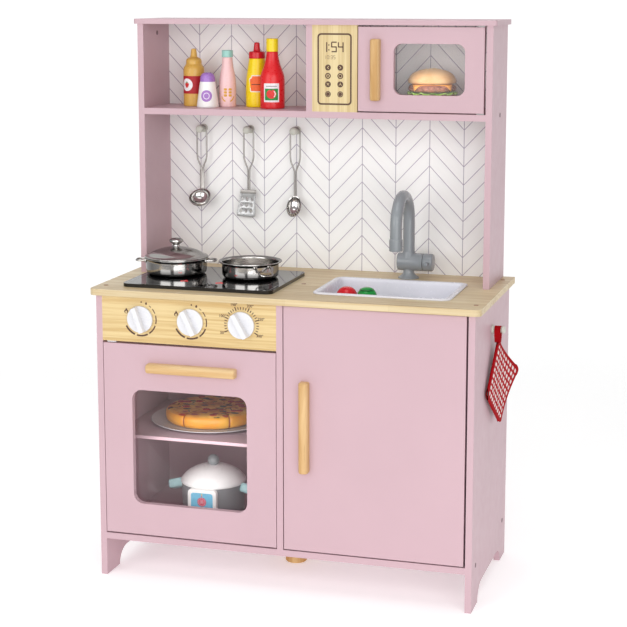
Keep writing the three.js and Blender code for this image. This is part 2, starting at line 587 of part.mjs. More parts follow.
function food() {
  const r = BURGER.radius;
  part("burger", turned([[0, 0], [r - 6, 0], [r - 1, 4], [r, 17], [r + 3, 19], [r + 3, 24], [r, 26],
    [r, 36], [r + 1, 38], [r, 41], [r - 1, 50], [r - 10, 62], [r - 26, 67], [0, 67]], 20),
    paint(0xd09a4e, 0.6), BURGER.x, BURGER.y, SHELF_TOP);
  const { radius, flat, lift, thick } = PLATE;
  const shelfTop = OVEN_SHELF.z + OVEN_SHELF.thick;
  part("pizza_plate", turned([[0, 0], [flat, 0], [radius, lift], [radius, lift + thick], [flat - 1, thick],
    [0, thick]], 32), paint(0xd8d8da, 0.3), PLATE.x, PLATE.y, shelfTop);
  const p = PIZZA.radius;
  const top = PIZZA.thick;
  part("pizza", turned([[0, 0], [p - 6, 0], [p - 1, 5], [p, 12], [p - 2, top - 5], [p - 8, top - 0.5],
    [0, top]], 28), paint(0xf0a93a, 0.4), PLATE.x, PLATE.y, shelfTop + thick + CLEARANCE);
  part("play_tomato", vegetable(TOMATO), paint(0xd1202a, 0.3), TOMATO.x, TOMATO.y, SINK_FLOOR);
  part("play_pepper", vegetable(PEPPER), paint(0x1f9440, 0.3), PEPPER.x, PEPPER.y, SINK_FLOOR);
}

function cooker() {
  const { x, y, radius: r, rim } = COOKER;
  const body = turned([[0, 0], [r - 6, 0], [r - 3, 3], [r, rim], [r + 1.5, rim + 1], [r + 1, rim + 5],
    [r - 8, rim + 15], [r - 26, rim + 24], [5, rim + 27], [5, rim + 28], [9.6, rim + 32], [8, rim + 40],
    [0, rim + 43]], 24);
  const grips = [-1, 1].map((side) => board(-11, 11, -13, 13, -7, 7)
    .translate(side * (r + 8), 0, rim - 10));
  const front = board(-15, 15, -r - 4, -r + 12, 10, rim - 3);
  part("toy_cooker", join(body, ...grips, front), GREY_PLASTIC, x, y, FLOOR_Z + BOARD);
}

class ArchCurve extends THREE.Curve {
  constructor(radius, z) {
    super();
    this.radius = radius;
    this.z = z;
  }
  getPoint(t, target = new THREE.Vector3()) {
    const a = Math.PI * t;
    return target.set(0, -this.radius * (1 - Math.cos(a)), this.z + this.radius * Math.sin(a));
  }
}

lowerCabinet();
controlFascia();
countertop();
hob();
sink();
faucet();
upperUnit();
ovenDoor();
cabinetDoor();
microwaveDoor();
knobs();
hooks();
utensils();
potHolder();
cookware();
bottles();
food();
cooker();

export default kitchen;
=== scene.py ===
"""Looks of the toy kitchen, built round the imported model. Lengths in the helpers are millimetres."""

import math
import random

import bmesh
import bpy
from mathutils import Matrix, Vector


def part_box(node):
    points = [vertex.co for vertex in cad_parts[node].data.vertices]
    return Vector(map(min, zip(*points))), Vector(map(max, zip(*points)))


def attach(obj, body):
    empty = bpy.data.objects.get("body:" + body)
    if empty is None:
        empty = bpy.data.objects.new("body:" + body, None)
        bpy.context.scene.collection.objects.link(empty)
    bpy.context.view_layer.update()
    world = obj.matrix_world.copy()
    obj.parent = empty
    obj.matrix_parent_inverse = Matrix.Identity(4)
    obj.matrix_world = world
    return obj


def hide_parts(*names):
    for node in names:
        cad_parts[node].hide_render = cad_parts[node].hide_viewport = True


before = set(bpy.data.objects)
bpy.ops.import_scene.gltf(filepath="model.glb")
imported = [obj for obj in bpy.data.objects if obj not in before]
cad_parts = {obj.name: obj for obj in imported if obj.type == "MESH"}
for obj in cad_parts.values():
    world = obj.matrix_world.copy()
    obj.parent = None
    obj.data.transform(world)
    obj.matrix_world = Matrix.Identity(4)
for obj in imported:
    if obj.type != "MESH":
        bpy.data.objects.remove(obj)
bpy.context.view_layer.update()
MM = 0.001
ALONG_X, ALONG_Z = 0, 2
PRINT_LIFT = 0.06  # how far flat print stands off the face under it
rng = random.Random(7)


# ---- Where the CAD nodes are ---------------------------------------------------------------
def node_box(node):
    """Lowest and highest corners of a CAD node at rest, in millimetres."""
    low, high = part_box(node)
    return Vector(low) / MM, Vector(high) / MM


def middle(node):
    """The middle of a node."""
    low, high = node_box(node)
    return (low + high) / 2


def foot(node):
    """The point under the middle of a node."""
    low, high = node_box(node)
    return Vector(((low.x + high.x) / 2, (low.y + high.y) / 2, low.z))


# ---- Camera --------------------------------------------------------------------------------
CAMERA_PLACE = Vector((726.5, -2428, 920)) * MM
CAMERA_PITCH = 9.03  # degrees below level
CAMERA_TURN = 16.6  # degrees to the left of straight on


def camera():
    """A long lens to the right of the kitchen, a little above it."""
    data = bpy.data.cameras.new("camera")
    data.lens = 93.4
    data.sensor_width = 36
    data.shift_y = -0.1
    data.clip_end = 50
    cam = bpy.data.objects.new("camera", data)
    cam.location = CAMERA_PLACE
    cam.rotation_euler = (math.radians(90 - CAMERA_PITCH), 0, math.radians(CAMERA_TURN))
    bpy.context.scene.collection.objects.link(cam)
    bpy.context.scene.camera = cam


# ---- Materials -----------------------------------------------------------------------------
def srgb(r, g, b):
    """Linear colour of an 8-bit display colour."""
    return tuple(((c / 255 + 0.055) / 1.055) ** 2.4 if c > 10 else c / 255 / 12.92 for c in (r, g, b))


class Finish:
    """A procedural material under construction."""

    def __init__(self, name, color, roughness, **fixed):
        self.material = bpy.data.materials.new(name)
        self.material.use_nodes = True
        self.tree = self.material.node_tree
        self.shader = self.tree.nodes["Principled BSDF"]
        self.shader.inputs["Base Color"].default_value = (*color, 1)
        self.shader.inputs["Roughness"].default_value = roughness
        for key, value in fixed.items():
            self.shader.inputs[key.replace("_", " ")].default_value = value
        self.color = (*color, 1)

    def add(self, kind, inputs=(), out=0, **settings):
        node = self.tree.nodes.new(kind)
        for key, value in settings.items():
            setattr(node, key, value)
        for key, value in dict(inputs).items():
            if isinstance(value, bpy.types.NodeSocket):
                self.tree.links.new(value, node.inputs[key])
            else:
                node.inputs[key].default_value = value
        return node.outputs[out]

    def feed(self, socket, value):
        self.tree.links.new(value, self.shader.inputs[socket])
        return self

    def place(self, scale=(1, 1, 1), turn=(0, 0, 0), uv=False):
        """Object coordinates in metres, or UV coordinates, turned and scaled."""
        source = self.add("ShaderNodeTexCoord", out=2 if uv else 3)
        return self.add("ShaderNodeMapping", {"Vector": source, "Scale": scale, "Rotation": turn})

    def axes(self, vector):
        """The three separate coordinates of a vector."""
        node = self.tree.nodes.new("ShaderNodeSeparateXYZ")
        self.tree.links.new(vector, node.inputs[0])
        return node.outputs

    def noise(self, vector, scale, detail=3.0, distortion=0.0):
        return self.add("ShaderNodeTexNoise", {"Vector": vector, "Scale": scale, "Detail": detail,
                                               "Distortion": distortion})

    def math(self, operation, a, b):
        return self.add("ShaderNodeMath", {0: a, 1: b, 2: 0.0}, operation=operation)

    def span(self, value, low, high, to_low=0.0, to_high=1.0, smooth=False):
        return self.add("ShaderNodeMapRange", {"Value": value, "From Min": low, "From Max": high,
                                               "To Min": to_low, "To Max": to_high},
                        interpolation_type="SMOOTHSTEP" if smooth else "LINEAR")

    def mix(self, factor, a, b, blend="MIX"):
        a, b = ((*v, 1) if isinstance(v, tuple) and len(v) == 3 else v for v in (a, b))
        return self.add("ShaderNodeMix", {0: factor, 6: a, 7: b}, out=2, data_type="RGBA", blend_type=blend)

    def bump(self, height, strength, distance):
        normal = self.add("ShaderNodeBump", {"Height": height, "Strength": strength, "Distance": distance})
        return self.feed("Normal", normal)

    def worn(self, amount=0.05, scale=14.0):
        """Slight drift of the base colour over the surface."""
        drift = self.span(self.noise(self.place(), scale, 4), 0.3, 0.7, 1 - amount, 1 + amount * 0.6)
        shade = self.add("ShaderNodeCombineColor", {0: drift, 1: drift, 2: drift})
        return self.feed("Base Color", self.mix(1.0, self.color, shade, "MULTIPLY"))


def satin_paint(name, color):
    """Sprayed satin lacquer on board: faint orange peel, soft drift in tone and gloss."""
    f = Finish(name, color, 0.42, Specular_IOR_Level=0.45)
    f.worn(0.025, 7.0)
    f.feed("Roughness", f.span(f.noise(f.place(), 60, 3), 0.3, 0.7, 0.38, 0.48))
    return f.bump(f.noise(f.place(), 900, 2), 0.12, 0.0002).material


def moulded(name, color, roughness=0.32, grain=0.08, drift=0.03):
    """Injection-moulded plastic: even colour, fine texture."""
    f = Finish(name, color, roughness, Specular_IOR_Level=0.5)
    f.worn(drift, 22.0)
    f.feed("Roughness", f.span(f.noise(f.place(), 240, 3), 0.3, 0.7, roughness * 0.85, roughness * 1.15))
    return f.bump(f.noise(f.place(), 1600, 2), grain, 0.0002).material


def steel(name, color=(0.72, 0.70, 0.68), edge=(0.07, 0.065, 0.06), roughness=0.13,
          brushed=(30, 30, 1500), spun=0.0):
    """Stainless steel with painted shade, darker where it turns away from view as a painted dark reflection.
    spun sets how far its highlights fan out.
    """
    f = Finish(name, color, roughness, Metallic=1.0, Anisotropic=spun)
    streaks = f.noise(f.place(brushed), 1.0, 4)
    f.feed("Roughness", f.span(streaks, 0.3, 0.7, roughness * 0.7, roughness * 1.35))
    # Painted shade: the base colour fades to the edge colour where the surface turns away from view.
    slant = f.add("ShaderNodeLayerWeight", {"Blend": 0.5}, out=1)
    f.feed("Base Color", f.mix(f.span(slant, 0.12, 0.8), color, edge))
    if spun:
        f.feed("Tangent", f.add("ShaderNodeTangent", direction_type="RADIAL", axis="Z"))
    return f.bump(streaks, 0.05, 0.00008).material


def wood(name, light, dark, along, across, gloss=0.5, strips=None, fibre=1.0):
    """Printed or oiled wood whose grain runs along one axis. across lists the other two axes' stretch."""
    f = Finish(name, light, gloss, Specular_IOR_Level=0.4)
    stretch = [0.0, 0.0, 0.0]
    stretch[along] = 5.0
    others = [i for i in range(3) if i != along]
    for axis, value in zip(others, across):
        stretch[axis] = value
    grain = f.place(tuple(stretch))
    broad = f.noise(grain, 1.0, 6, 0.6)
    fine_stretch = tuple(s * (9 if s > 5 else 6) for s in stretch)
    fine = f.noise(f.place(fine_stretch), 1.0, 3)
    tone = f.mix(f.span(broad, 0.34, 0.68, smooth=True), light, dark)
    pores = f.span(fine, 0.56, 0.74, 0.0, 0.32 * fibre)
    tone = f.mix(pores, tone, tuple(c * 0.72 for c in dark))
    if strips:
        bricks = f.add("ShaderNodeTexBrick", {
            "Vector": f.place(), "Color1": (1.02, 1.02, 1.02, 1), "Color2": (0.93, 0.915, 0.89, 1),
            "Mortar": (0.9, 0.87, 0.82, 1), "Scale": 1.0, "Mortar Size": 0.0002, "Mortar Smooth": 0.4,
            "Brick Width": strips[0], "Row Height": strips[1]})
        tone = f.mix(1.0, tone, bricks, "MULTIPLY")
    f.feed("Base Color", tone)
    f.feed("Roughness", f.span(broad, 0.3, 0.7, gloss * 0.85, gloss * 1.15))
    return f.bump(fine, 0.1 * fibre, 0.0003).material


def zigzag_print(name):
    """White panel printed with fine zigzag lines: upright lines, and slanted lines meeting on them."""
    pitch_x = 56.25 * MM
    pitch_z = 29.6 * MM
    f = Finish(name, srgb(248, 248, 248), 0.38, Specular_IOR_Level=0.45)
    centre_x = middle("countertop").x * MM
    base_z = node_box("backsplash_panel")[0].z * MM
    x, y, z = f.axes(f.place())
    front = f.math("LESS_THAN", y, middle("backsplash_panel").y * MM)
    across = f.math("DIVIDE", f.math("SUBTRACT", x, centre_x), pitch_x)
    rise = f.math("PINGPONG", across, 1.0)
    height = f.math("SUBTRACT", f.math("DIVIDE", f.math("SUBTRACT", z, base_z), pitch_z),
                    f.math("MULTIPLY", rise, 2.0))
    slanted = f.math("MULTIPLY", f.math("PINGPONG", height, 0.5), pitch_z * 0.69)
    upright = f.math("MULTIPLY", f.math("PINGPONG", across, 0.5), pitch_x)
    nearest = f.math("MINIMUM", slanted, upright)
    ink = f.span(nearest, 0.35 * MM, 0.8 * MM, 0.85, 0.0, smooth=True)
    drift = f.span(f.noise(f.place(), 11, 3), 0.3, 0.7, 0.0, 0.05)
    ground = f.mix(drift, srgb(250, 250, 249), srgb(226, 226, 226))
    f.feed("Base Color", f.mix(f.math("MULTIPLY", ink, front), ground, srgb(146, 134, 158)))
    return f.bump(f.noise(f.place(), 700, 2), 0.05, 0.0001).material


def clear_pane(name, tint):
    """Thin clear acrylic: it lets light through, and mirrors a little at a slant from either side."""
    f = Finish(name, tint, 0.5)
    through = f.add("ShaderNodeBsdfTransparent", {"Color": (*tint, 1)})
    smear = f.span(f.noise(f.place(), 90), 0.0, 1.0, 0.02, 0.07)
    gloss = f.add("ShaderNodeBsdfGlossy", {"Roughness": smear})
    facing = f.add("ShaderNodeLayerWeight", {"Blend": 0.5}, out=1)
    mirror = f.math("ADD", f.math("MULTIPLY", f.math("POWER", facing, 5.0), 0.9), 0.025)
    blend = f.add("ShaderNodeMixShader", {0: mirror, 1: through, 2: gloss})
    f.tree.nodes.remove(f.shader)
    f.tree.links.new(blend, f.tree.nodes["Material Output"].inputs["Surface"])
    return f.material


def print_ink(name, color):
    """Printed ink, or a paper label."""
    f = Finish(name, color, 0.55)
    return f.worn(0.08, 300.0).material


def gingham(name):
    """Woven red and white check on the pad's own flat coordinates, in metres."""
    stripe = 5.0 * MM
    red = srgb(158, 4, 18)
    f = Finish(name, red, 0.9, Specular_IOR_Level=0.08, Sheen_Weight=0.02)
    u, v, _ = f.axes(f.place(uv=True))
    edge = 0.12
    bands = []
    for coordinate in (u, v):
        wave = f.math("PINGPONG", f.math("DIVIDE", coordinate, stripe), 1.0)
        bands.append(f.span(wave, 0.56 - edge, 0.56 + edge, smooth=True))
    cover = f.math("MULTIPLY", f.math("ADD", bands[0], bands[1]), 0.5)
    tone = f.mix(f.span(cover, 0.0, 0.5), srgb(244, 238, 236), srgb(192, 54, 60))
    tone = f.mix(f.span(cover, 0.5, 1.0), tone, red)
    thread = 0.55 * MM
    weave = f.math("MULTIPLY", f.math("PINGPONG", f.math("DIVIDE", u, thread), 0.5),
                   f.math("PINGPONG", f.math("DIVIDE", v, thread), 0.5))
    tone = f.mix(f.span(weave, 0.0, 0.25, 0.22, 0.0), tone, tuple(c * 0.5 for c in red))
    f.feed("Base Color", tone)
    return f.bump(weave, 0.5, 0.0004).material


def woven(name, color):
    """Plain bias binding or ribbon."""
    thread = 0.6 * MM
    f = Finish(name, color, 0.8, Specular_IOR_Level=0.12, Sheen_Weight=0.02)
    coarse = f.add("ShaderNodeTexWave", {"Vector": f.place((1, 1, 1), (0.6, 0.3, 0.8)),
                                         "Scale": 0.16 / thread, "Distortion": 0.5})
    f.feed("Base Color", f.mix(f.span(coarse, 0, 1, 0.25, 0.0), color, tuple(c * 0.55 for c in color)))
    return f.bump(coarse, 0.4, 0.0003).material


def mottled(name, light, dark, grain, reach=(0.35, 0.7), roughness=0.5, smooth=False, pits=None, bump=()):
    """Moulded play food that drifts between two tones. grain and pits are noise scale and detail."""
    f = Finish(name, light, roughness)
    patch = f.noise(f.place(), *grain)
    f.feed("Base Color", f.mix(f.span(patch, *reach, smooth=smooth), light, dark))
    return f.bump(f.noise(f.place(), *pits) if pits else patch, *bump).material


def pizza_top(name):
    """Painted topping: baked cheese with scattered red and dark green pieces."""
    f = Finish(name, srgb(222, 160, 70), 0.4)
    baked = f.mix(f.span(f.noise(f.place(), 40, 5), 0.35, 0.7, smooth=True),
                  srgb(250, 196, 92), srgb(206, 118, 44))
    cells = f.tree.nodes.new("ShaderNodeTexVoronoi")
    cells.inputs["Scale"].default_value = 62
    f.tree.links.new(f.place((1, 1.5, 1), (0, 0, 0.5)), cells.inputs["Vector"])
    distance, kind = cells.outputs["Distance"], cells.outputs["Color"]
    red_kind, green_kind, _ = f.axes(kind)
    rough = f.math("ADD", distance, f.span(f.noise(f.place(), 180, 3), 0.3, 0.7, -0.1, 0.1))
    spot = f.span(rough, 0.36, 0.44, 1.0, 0.0)
    red = f.math("MULTIPLY", spot, f.math("GREATER_THAN", red_kind, 0.52))
    green = f.math("MULTIPLY", spot, f.math("LESS_THAN", green_kind, 0.3))
    tone = f.mix(red, baked, srgb(176, 40, 28))
    tone = f.mix(green, tone, srgb(48, 58, 30))
    f.feed("Base Color", tone)
    return f.bump(f.noise(f.place(), 170, 4), 0.5, 0.001).material


# ---- Shapes, in millimetres in the row frame -------------------------------------------------
def rounded(points, radius, steps=4, closed=False):
    """A polyline with its corners rounded. Points may be 2-D or 3-D; radius may be a list."""
    points = [Vector(p) for p in points]
    count = len(points)
    out = []
    for i, point in enumerate(points):
        r = radius[i] if isinstance(radius, (list, tuple)) else radius
        if (not closed and i in (0, count - 1)) or r <= 0:
            out.append(point)
            continue
        before, after = points[i - 1], points[(i + 1) % count]
        a = point + (before - point).normalized() * min(r, (before - point).length * 0.49)
        b = point + (after - point).normalized() * min(r, (after - point).length * 0.49)
        for k in range(steps + 1):
            t = k / steps
            out.append(a * (1 - t) ** 2 + point * 2 * t * (1 - t) + b * t * t)
    return out


def lathe(profile, segments=48):
    """Turned surface about Z from (radius, height) points; points on the axis become poles."""
    verts, faces, rings = [], [], []
    for r, z in profile:
        if abs(r) < 1e-6:
            rings.append([len(verts)])
            verts.append(Vector((0, 0, z)))
        else:
            rings.append(list(range(len(verts), len(verts) + segments)))
            for k in range(segments):
                a = 2 * math.pi * k / segments
                verts.append(Vector((r * math.cos(a), r * math.sin(a), z)))
    for low, high in zip(rings, rings[1:]):
        for k in range(segments):
            n = (k + 1) % segments
            if len(low) == 1 and len(high) == 1:
                break
            if len(low) == 1:
                faces.append((low[0], high[k], high[n]))
            elif len(high) == 1:
                faces.append((low[k], low[n], high[0]))
            else:
                faces.append((low[k], low[n], high[n], high[k]))
    return verts, faces


def loft(loops, cap_start=True, closed=False):
    """Skin through loops of the same number of points, its ends closed unless it is a ring."""
    n = len(loops[0])
    verts = [Vector(p) for loop in loops for p in loop]
    faces = []
    pairs = range(len(loops)) if closed else range(len(loops) - 1)
    for i in pairs:
        a, b = i * n, ((i + 1) % len(loops)) * n
        for k in range(n):
            m = (k + 1) % n
            faces.append((a + k, a + m, b + m, b + k))
    if cap_start and not closed:
        faces.append(tuple(reversed(range(n))))
    if not closed:
        faces.append(tuple((len(loops) - 1) * n + k for k in range(n)))
    return verts, faces


def tube(path, radius, sides=12, closed=False):
    """Round bar along a path of points; radius may vary along it."""
    path = [Vector(p) for p in path]
    count = len(path)
    loops = []
    normal = None
    for i, point in enumerate(path):
        before = path[i - 1] if closed or i else path[0]
        after = path[(i + 1) % count] if closed or i < count - 1 else path[-1]
        tangent = (after - before).normalized()
        if normal is None:
            helper = Vector((0, 0, 1)) if abs(tangent.z) < 0.9 else Vector((1, 0, 0))
            normal = tangent.cross(helper).normalized()
        normal = (normal - tangent * normal.dot(tangent)).normalized()
        side = tangent.cross(normal)
        r = radius[i] if isinstance(radius, (list, tuple)) else radius
        loops.append([point + (normal * math.cos(a) + side * math.sin(a)) * r
                      for a in (2 * math.pi * k / sides for k in range(sides))])
    return loft(loops, closed=closed)


def arc(centre, radius, start, end, steps):
    """Points on an arc in a plane, angles in degrees."""
    return [(centre[0] + radius * math.cos(math.radians(start + (end - start) * k / steps)),
             centre[1] + radius * math.sin(math.radians(start + (end - start) * k / steps)))
            for k in range(steps + 1)]


def circle(radius):
    """Outline of a circle, with a point at every 15 degrees."""
    return arc((0, 0), radius, 0, 345, 23)


def direction(degrees):
    """Unit vector at an angle in a plane."""
    return Vector((math.cos(math.radians(degrees)), math.sin(math.radians(degrees))))


def box_outline(half, z0, z1):
    """Outline of a rectangle as far to the left as to the right."""
    return [(-half, z0), (half, z0), (half, z1), (-half, z1)]


def oval(cx, cz, rx, rz, steps=24):
    """Outline of an ellipse."""
    turns = [2 * math.pi * k / steps for k in range(steps)]
    return [(cx + rx * math.cos(a), cz + rz * math.sin(a)) for a in turns]


def grid_faces(columns, rows, wrap=False, base=0):
    """Quads of a grid of points numbered row by row. wrap joins the last column to the first."""
    wide = columns if wrap else columns + 1
    return [(base + j * wide + i, base + j * wide + (i + 1) % wide,
             base + (j + 1) * wide + (i + 1) % wide, base + (j + 1) * wide + i)
            for j in range(rows) for i in range(columns)]


def rounded_rect(x0, x1, y0, y1, r, steps=6):
    """Outline of a rectangle with round corners."""
    centres = [(x1 - r, y0 + r), (x1 - r, y1 - r), (x0 + r, y1 - r), (x0 + r, y0 + r)]
    out = []
    for centre, start in zip(centres, (-90, 0, 90, 180)):
        out += arc(centre, r, start, start + 90, steps)
    return out


def flat_shape(outlines, thickness, bevel=0.0):
    """A sheet in the XY plane with holes, from closed outlines; the first is the outside."""
    curve = bpy.data.curves.new("outline", "CURVE")
    curve.dimensions = "2D"
    curve.fill_mode = "BOTH" if thickness else "FRONT"
    curve.extrude = max(thickness / 2 - bevel, 0)
    curve.bevel_depth = bevel
    curve.bevel_resolution = 2
    curve.offset = -bevel
    for outline in outlines:
        spline = curve.splines.new("POLY")
        spline.points.add(len(outline) - 1)
        for point, (x, y) in zip(spline.points, outline):
            point.co = (x, y, 0, 1)
        spline.use_cyclic_u = True
    return curve_mesh(curve)


def curve_mesh(curve):
    """Vertices and faces of a filled curve, which is then removed."""
    holder = bpy.data.objects.new("outline", curve)
    bpy.context.scene.collection.objects.link(holder)
    mesh = bpy.data.meshes.new_from_object(holder)
    verts = [v.co.copy() for v in mesh.vertices]
    faces = [tuple(p.vertices) for p in mesh.polygons]
    bpy.data.objects.remove(holder)
    bpy.data.meshes.remove(mesh)
    bpy.data.curves.remove(curve)
    return verts, faces


def figures(text, size):
    """Plain numerals as a flat mesh, centred on the origin."""
    curve = bpy.data.curves.new("figures", "FONT")
    curve.body = text
    curve.size = size
    curve.align_x = "CENTER"
    curve.align_y = "CENTER"
    curve.resolution_u = 3
    curve.offset = size * 0.022
    return curve_mesh(curve)


def moved(shape, matrix):
    verts, faces = shape
    return [matrix @ v for v in verts], faces


def shifted(shape, x, y, z):
    return moved(shape, Matrix.Translation((x, y, z)))


def turned(shape, degrees, axis):
    return moved(shape, Matrix.Rotation(math.radians(degrees), 4, axis))


def upright(shape):
    """From the XY plane to the XZ plane, facing the front."""
    return turned(shape, 90, "X")


def block(size, radius, steps=3):
    """A box centred on the origin with rounded edges."""
    mesh = bmesh.new()
    bmesh.ops.create_cube(mesh, size=1)
    bmesh.ops.scale(mesh, vec=size, verts=mesh.verts)
    bmesh.ops.bevel(mesh, geom=mesh.edges[:], offset=radius, segments=steps, affect="EDGES", profile=0.5)
    mesh.verts.ensure_lookup_table()
    verts = [v.co.copy() for v in mesh.verts]
    faces = [tuple(v.index for v in f.verts) for f in mesh.faces]
    mesh.free()
    return verts, faces


def slab(outline, z0, z1, ease):
    """A convex outline raised from z0 to z1, with its upper and lower edges eased."""
    points = [Vector(p) for p in outline]
    centre = sum(points, Vector((0, 0))) / len(points)
    k = 0.3 * ease
    levels = [(ease, z0), (k, z0 + k), (0, z0 + ease), (0, z1 - ease), (k, z1 - k), (ease, z1)]
    return loft([[(*(p + (centre - p).normalized() * inset), z) for p in points] for inset, z in levels])


class Piece:
    """Gathers shapes into one mesh object."""

    def __init__(self, name):
        self.name = name
        self.verts, self.faces, self.marks = [], [], []

    def add(self, shape, mark=0):
        """mark is the material's number, one for the shape or one for each of its faces."""
        base = len(self.verts)
        verts, faces = shape
        self.verts += [tuple(c * MM for c in v) for v in verts]
        self.faces += [tuple(base + i for i in face) for face in faces]
        self.marks += mark if isinstance(mark, list) else [mark] * len(faces)
        return self

    def build(self, materials, body, replaces=(), slot=None, smooth=40, subdivide=0, flat=()):
        """smooth is the angle above which an edge stays sharp, and 0 leaves the faces flat.

        flat holds a point of the unrolled sheet, in metres, for each vertex of a woven piece.
        """
        mesh = bpy.data.meshes.new(self.name)
        mesh.from_pydata(self.verts, [], self.faces)
        if flat:
            layer = mesh.uv_layers.new(name="weave")
            for loop in mesh.loops:
                layer.data[loop.index].uv = flat[loop.vertex_index]
        for material in materials if isinstance(materials, (list, tuple)) else [materials]:
            mesh.materials.append(material)
        for polygon, mark in zip(mesh.polygons, self.marks):
            polygon.material_index = mark
        tidy = bmesh.new()
        tidy.from_mesh(mesh)
        bmesh.ops.remove_doubles(tidy, verts=tidy.verts, dist=1e-7)
        bmesh.ops.recalc_face_normals(tidy, faces=tidy.faces)
        tidy.to_mesh(mesh)
        tidy.free()
        if smooth:
            mesh.shade_smooth()
            mesh.set_sharp_from_angle(angle=math.radians(smooth))
        piece = bpy.data.objects.new(self.name, mesh)
        bpy.context.scene.collection.objects.link(piece)
        if subdivide:
            finer = piece.modifiers.new("finer", "SUBSURF")
            finer.levels = finer.render_levels = subdivide
        if replaces:
            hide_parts(*replaces)
        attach(piece, body)
        return piece


def lathed(name, spot, profile, radii, steps, segments, material, body, replaces=(), slot=None, smooth=50):
    """One turned piece standing on a point. radii are how far each corner of its profile is rounded."""
    shape = lathe(rounded(profile, radii, steps), segments)
    return Piece(name).add(shifted(shape, *spot)).build(material, body, replaces, slot, smooth)


def dress(node, material, edge=0.6, segments=2):
    """Gives a CAD node its finish, and eases its sharp edges by edge millimetres."""
    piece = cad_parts[node]
    for slot in piece.material_slots:
        slot.material = material
    if edge:
        bevel = piece.modifiers.new("eased_edges", "BEVEL")
        bevel.width = edge * MM
        bevel.segments = segments
        bevel.limit_method = "ANGLE"
        bevel.angle_limit = math.radians(50)
        bevel.harden_normals = False


# ---- Finishes --------------------------------------------------------------------------------
PINK = satin_paint("pink_paint", srgb(199, 168, 176))
MAPLE = wood("maple_fascia", srgb(224, 200, 148), srgb(202, 170, 114), ALONG_X, (130, 190), fibre=0.9)
MAPLE_UPRIGHT = wood("maple_fascia_upright", srgb(222, 203, 156), srgb(204, 179, 130), ALONG_Z, (180, 150),
                     fibre=0.8)
WORKTOP = wood("worktop_print", srgb(218, 200, 162), srgb(204, 180, 138), ALONG_X, (110, 200), 0.4,
               strips=(0.16, 0.021))
HANDLE = wood("handle_wood", srgb(226, 196, 148), srgb(206, 166, 112), ALONG_X, (70, 70), 0.55)
HANDLE_UPRIGHT = wood("handle_wood_upright", srgb(222, 186, 134), srgb(192, 148, 92), ALONG_Z, (70, 70), 0.55)
FOOT_WOOD = wood("foot_wood", srgb(226, 190, 130), srgb(200, 150, 84), ALONG_Z, (60, 60), 0.6)
ZIGZAG = zigzag_print("zigzag_print")
PANE = clear_pane("clear_pane", (0.99, 0.985, 0.985))
WHITE = moulded("white_plastic", srgb(226, 226, 230), 0.3)
SINK_WHITE = moulded("sink_white", srgb(226, 226, 234), 0.25)
GREY = moulded("faucet_grey", srgb(142, 147, 151), 0.2, 0.015, 0.015)
BLACK = moulded("hob_black", srgb(10, 10, 12), 0.05, 0.005, 0.02)
PEG = moulded("peg_paint", srgb(205, 206, 196), 0.45)
# The second colour of each steel is its painted shade where the surface turns away from view.
STEEL = steel("polished_steel")
BRUSHED_STEEL = steel("brushed_steel", (0.72, 0.70, 0.67), (0.08, 0.075, 0.07), 0.2)
SPUN_STEEL = steel("spun_steel", (0.82, 0.80, 0.77), (0.14, 0.13, 0.12), 0.17, (60, 60, 60), 0.5)
WIRE_STEEL = steel("wire_steel", (0.40, 0.38, 0.36), (0.05, 0.045, 0.04), 0.3, (20, 20, 20))
SHEET_STEEL = steel("sheet_steel", (0.5, 0.5, 0.5), (0.2, 0.2, 0.2), 0.32, (90, 90, 12))
SATIN_STEEL = steel("satin_steel", (0.5, 0.49, 0.48), roughness=0.3)
INK = print_ink("brown_print", srgb(84, 54, 40))
PALE_INK = print_ink("pale_brown_print", srgb(150, 124, 96))
CAP = moulded("brown_screw_cap", srgb(160, 120, 95), 0.5)
PANEL_CAP = moulded("panel_screw_cap", srgb(112, 88, 94), 0.5)


# ---- Boards, doors and handles -----------------------------------------------------------------
def boards():
    """Finishes of the CAD nodes that stay: boards, doors, panes, worktop and hinge pins."""
    pink = ["left_side_panel", "right_side_panel", "centre_divider", "bottom_board", "lower_back_panel",
            "oven_shelf", "upper_left_panel", "upper_right_panel", "top_board", "upper_shelf",
            "microwave_divider", "oven_door", "cabinet_door", "microwave_door"]
    for node in pink:
        dress(node, PINK, 0.7)
    dress("control_fascia", MAPLE, 0.5)
    dress("microwave_fascia", MAPLE_UPRIGHT, 0.5)
    dress("countertop", WORKTOP, 1.0)
    dress("backsplash_panel", ZIGZAG, 0.3)
    dress("centre_foot", FOOT_WOOD, 0.6)
    dress("oven_window", PANE, 0)
    dress("microwave_window", PANE, 0)
    dress("hob_plate", BLACK, 2.2, 4)
    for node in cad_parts:
        if "hinge_pin" in node:
            dress(node, SATIN_STEEL, 0)


def handle(node, body, along, material):
    """A wooden bar with a domed front and softly rounded ends."""
    low, high = node_box(node)
    centre = middle(node)
    other = ALONG_X if along == ALONG_Z else ALONG_Z
    half = (high[along] - low[along]) / 2
    width, depth = high[other] - low[other], high.y - low.y
    section = rounded([(-width / 2, 0), (-width / 2, depth), (width / 2, depth), (width / 2, 0)],
                      [0, width * 0.46, width * 0.46, 0], 7)
    ease = 3.2
    ends = [(half, ease), (half - 0.3 * ease, 0.3 * ease), (half - ease, 0)]
    loops = []
    for t, inset in [(-t, inset) for t, inset in ends] + ends[::-1]:
        loop = []
        for across, out in section:
            point = [0.0, high.y - out * (1 - inset / (depth * 1.3)), 0.0]
            point[along] = centre[along] + t
            point[other] = centre[other] + across * (1 - inset / (width * 0.9))
            loop.append(point)
        loops.append(loop)
    Piece(node + "_bar").add(loft(loops)).build(material, body, [node], "handle_wood", 50)


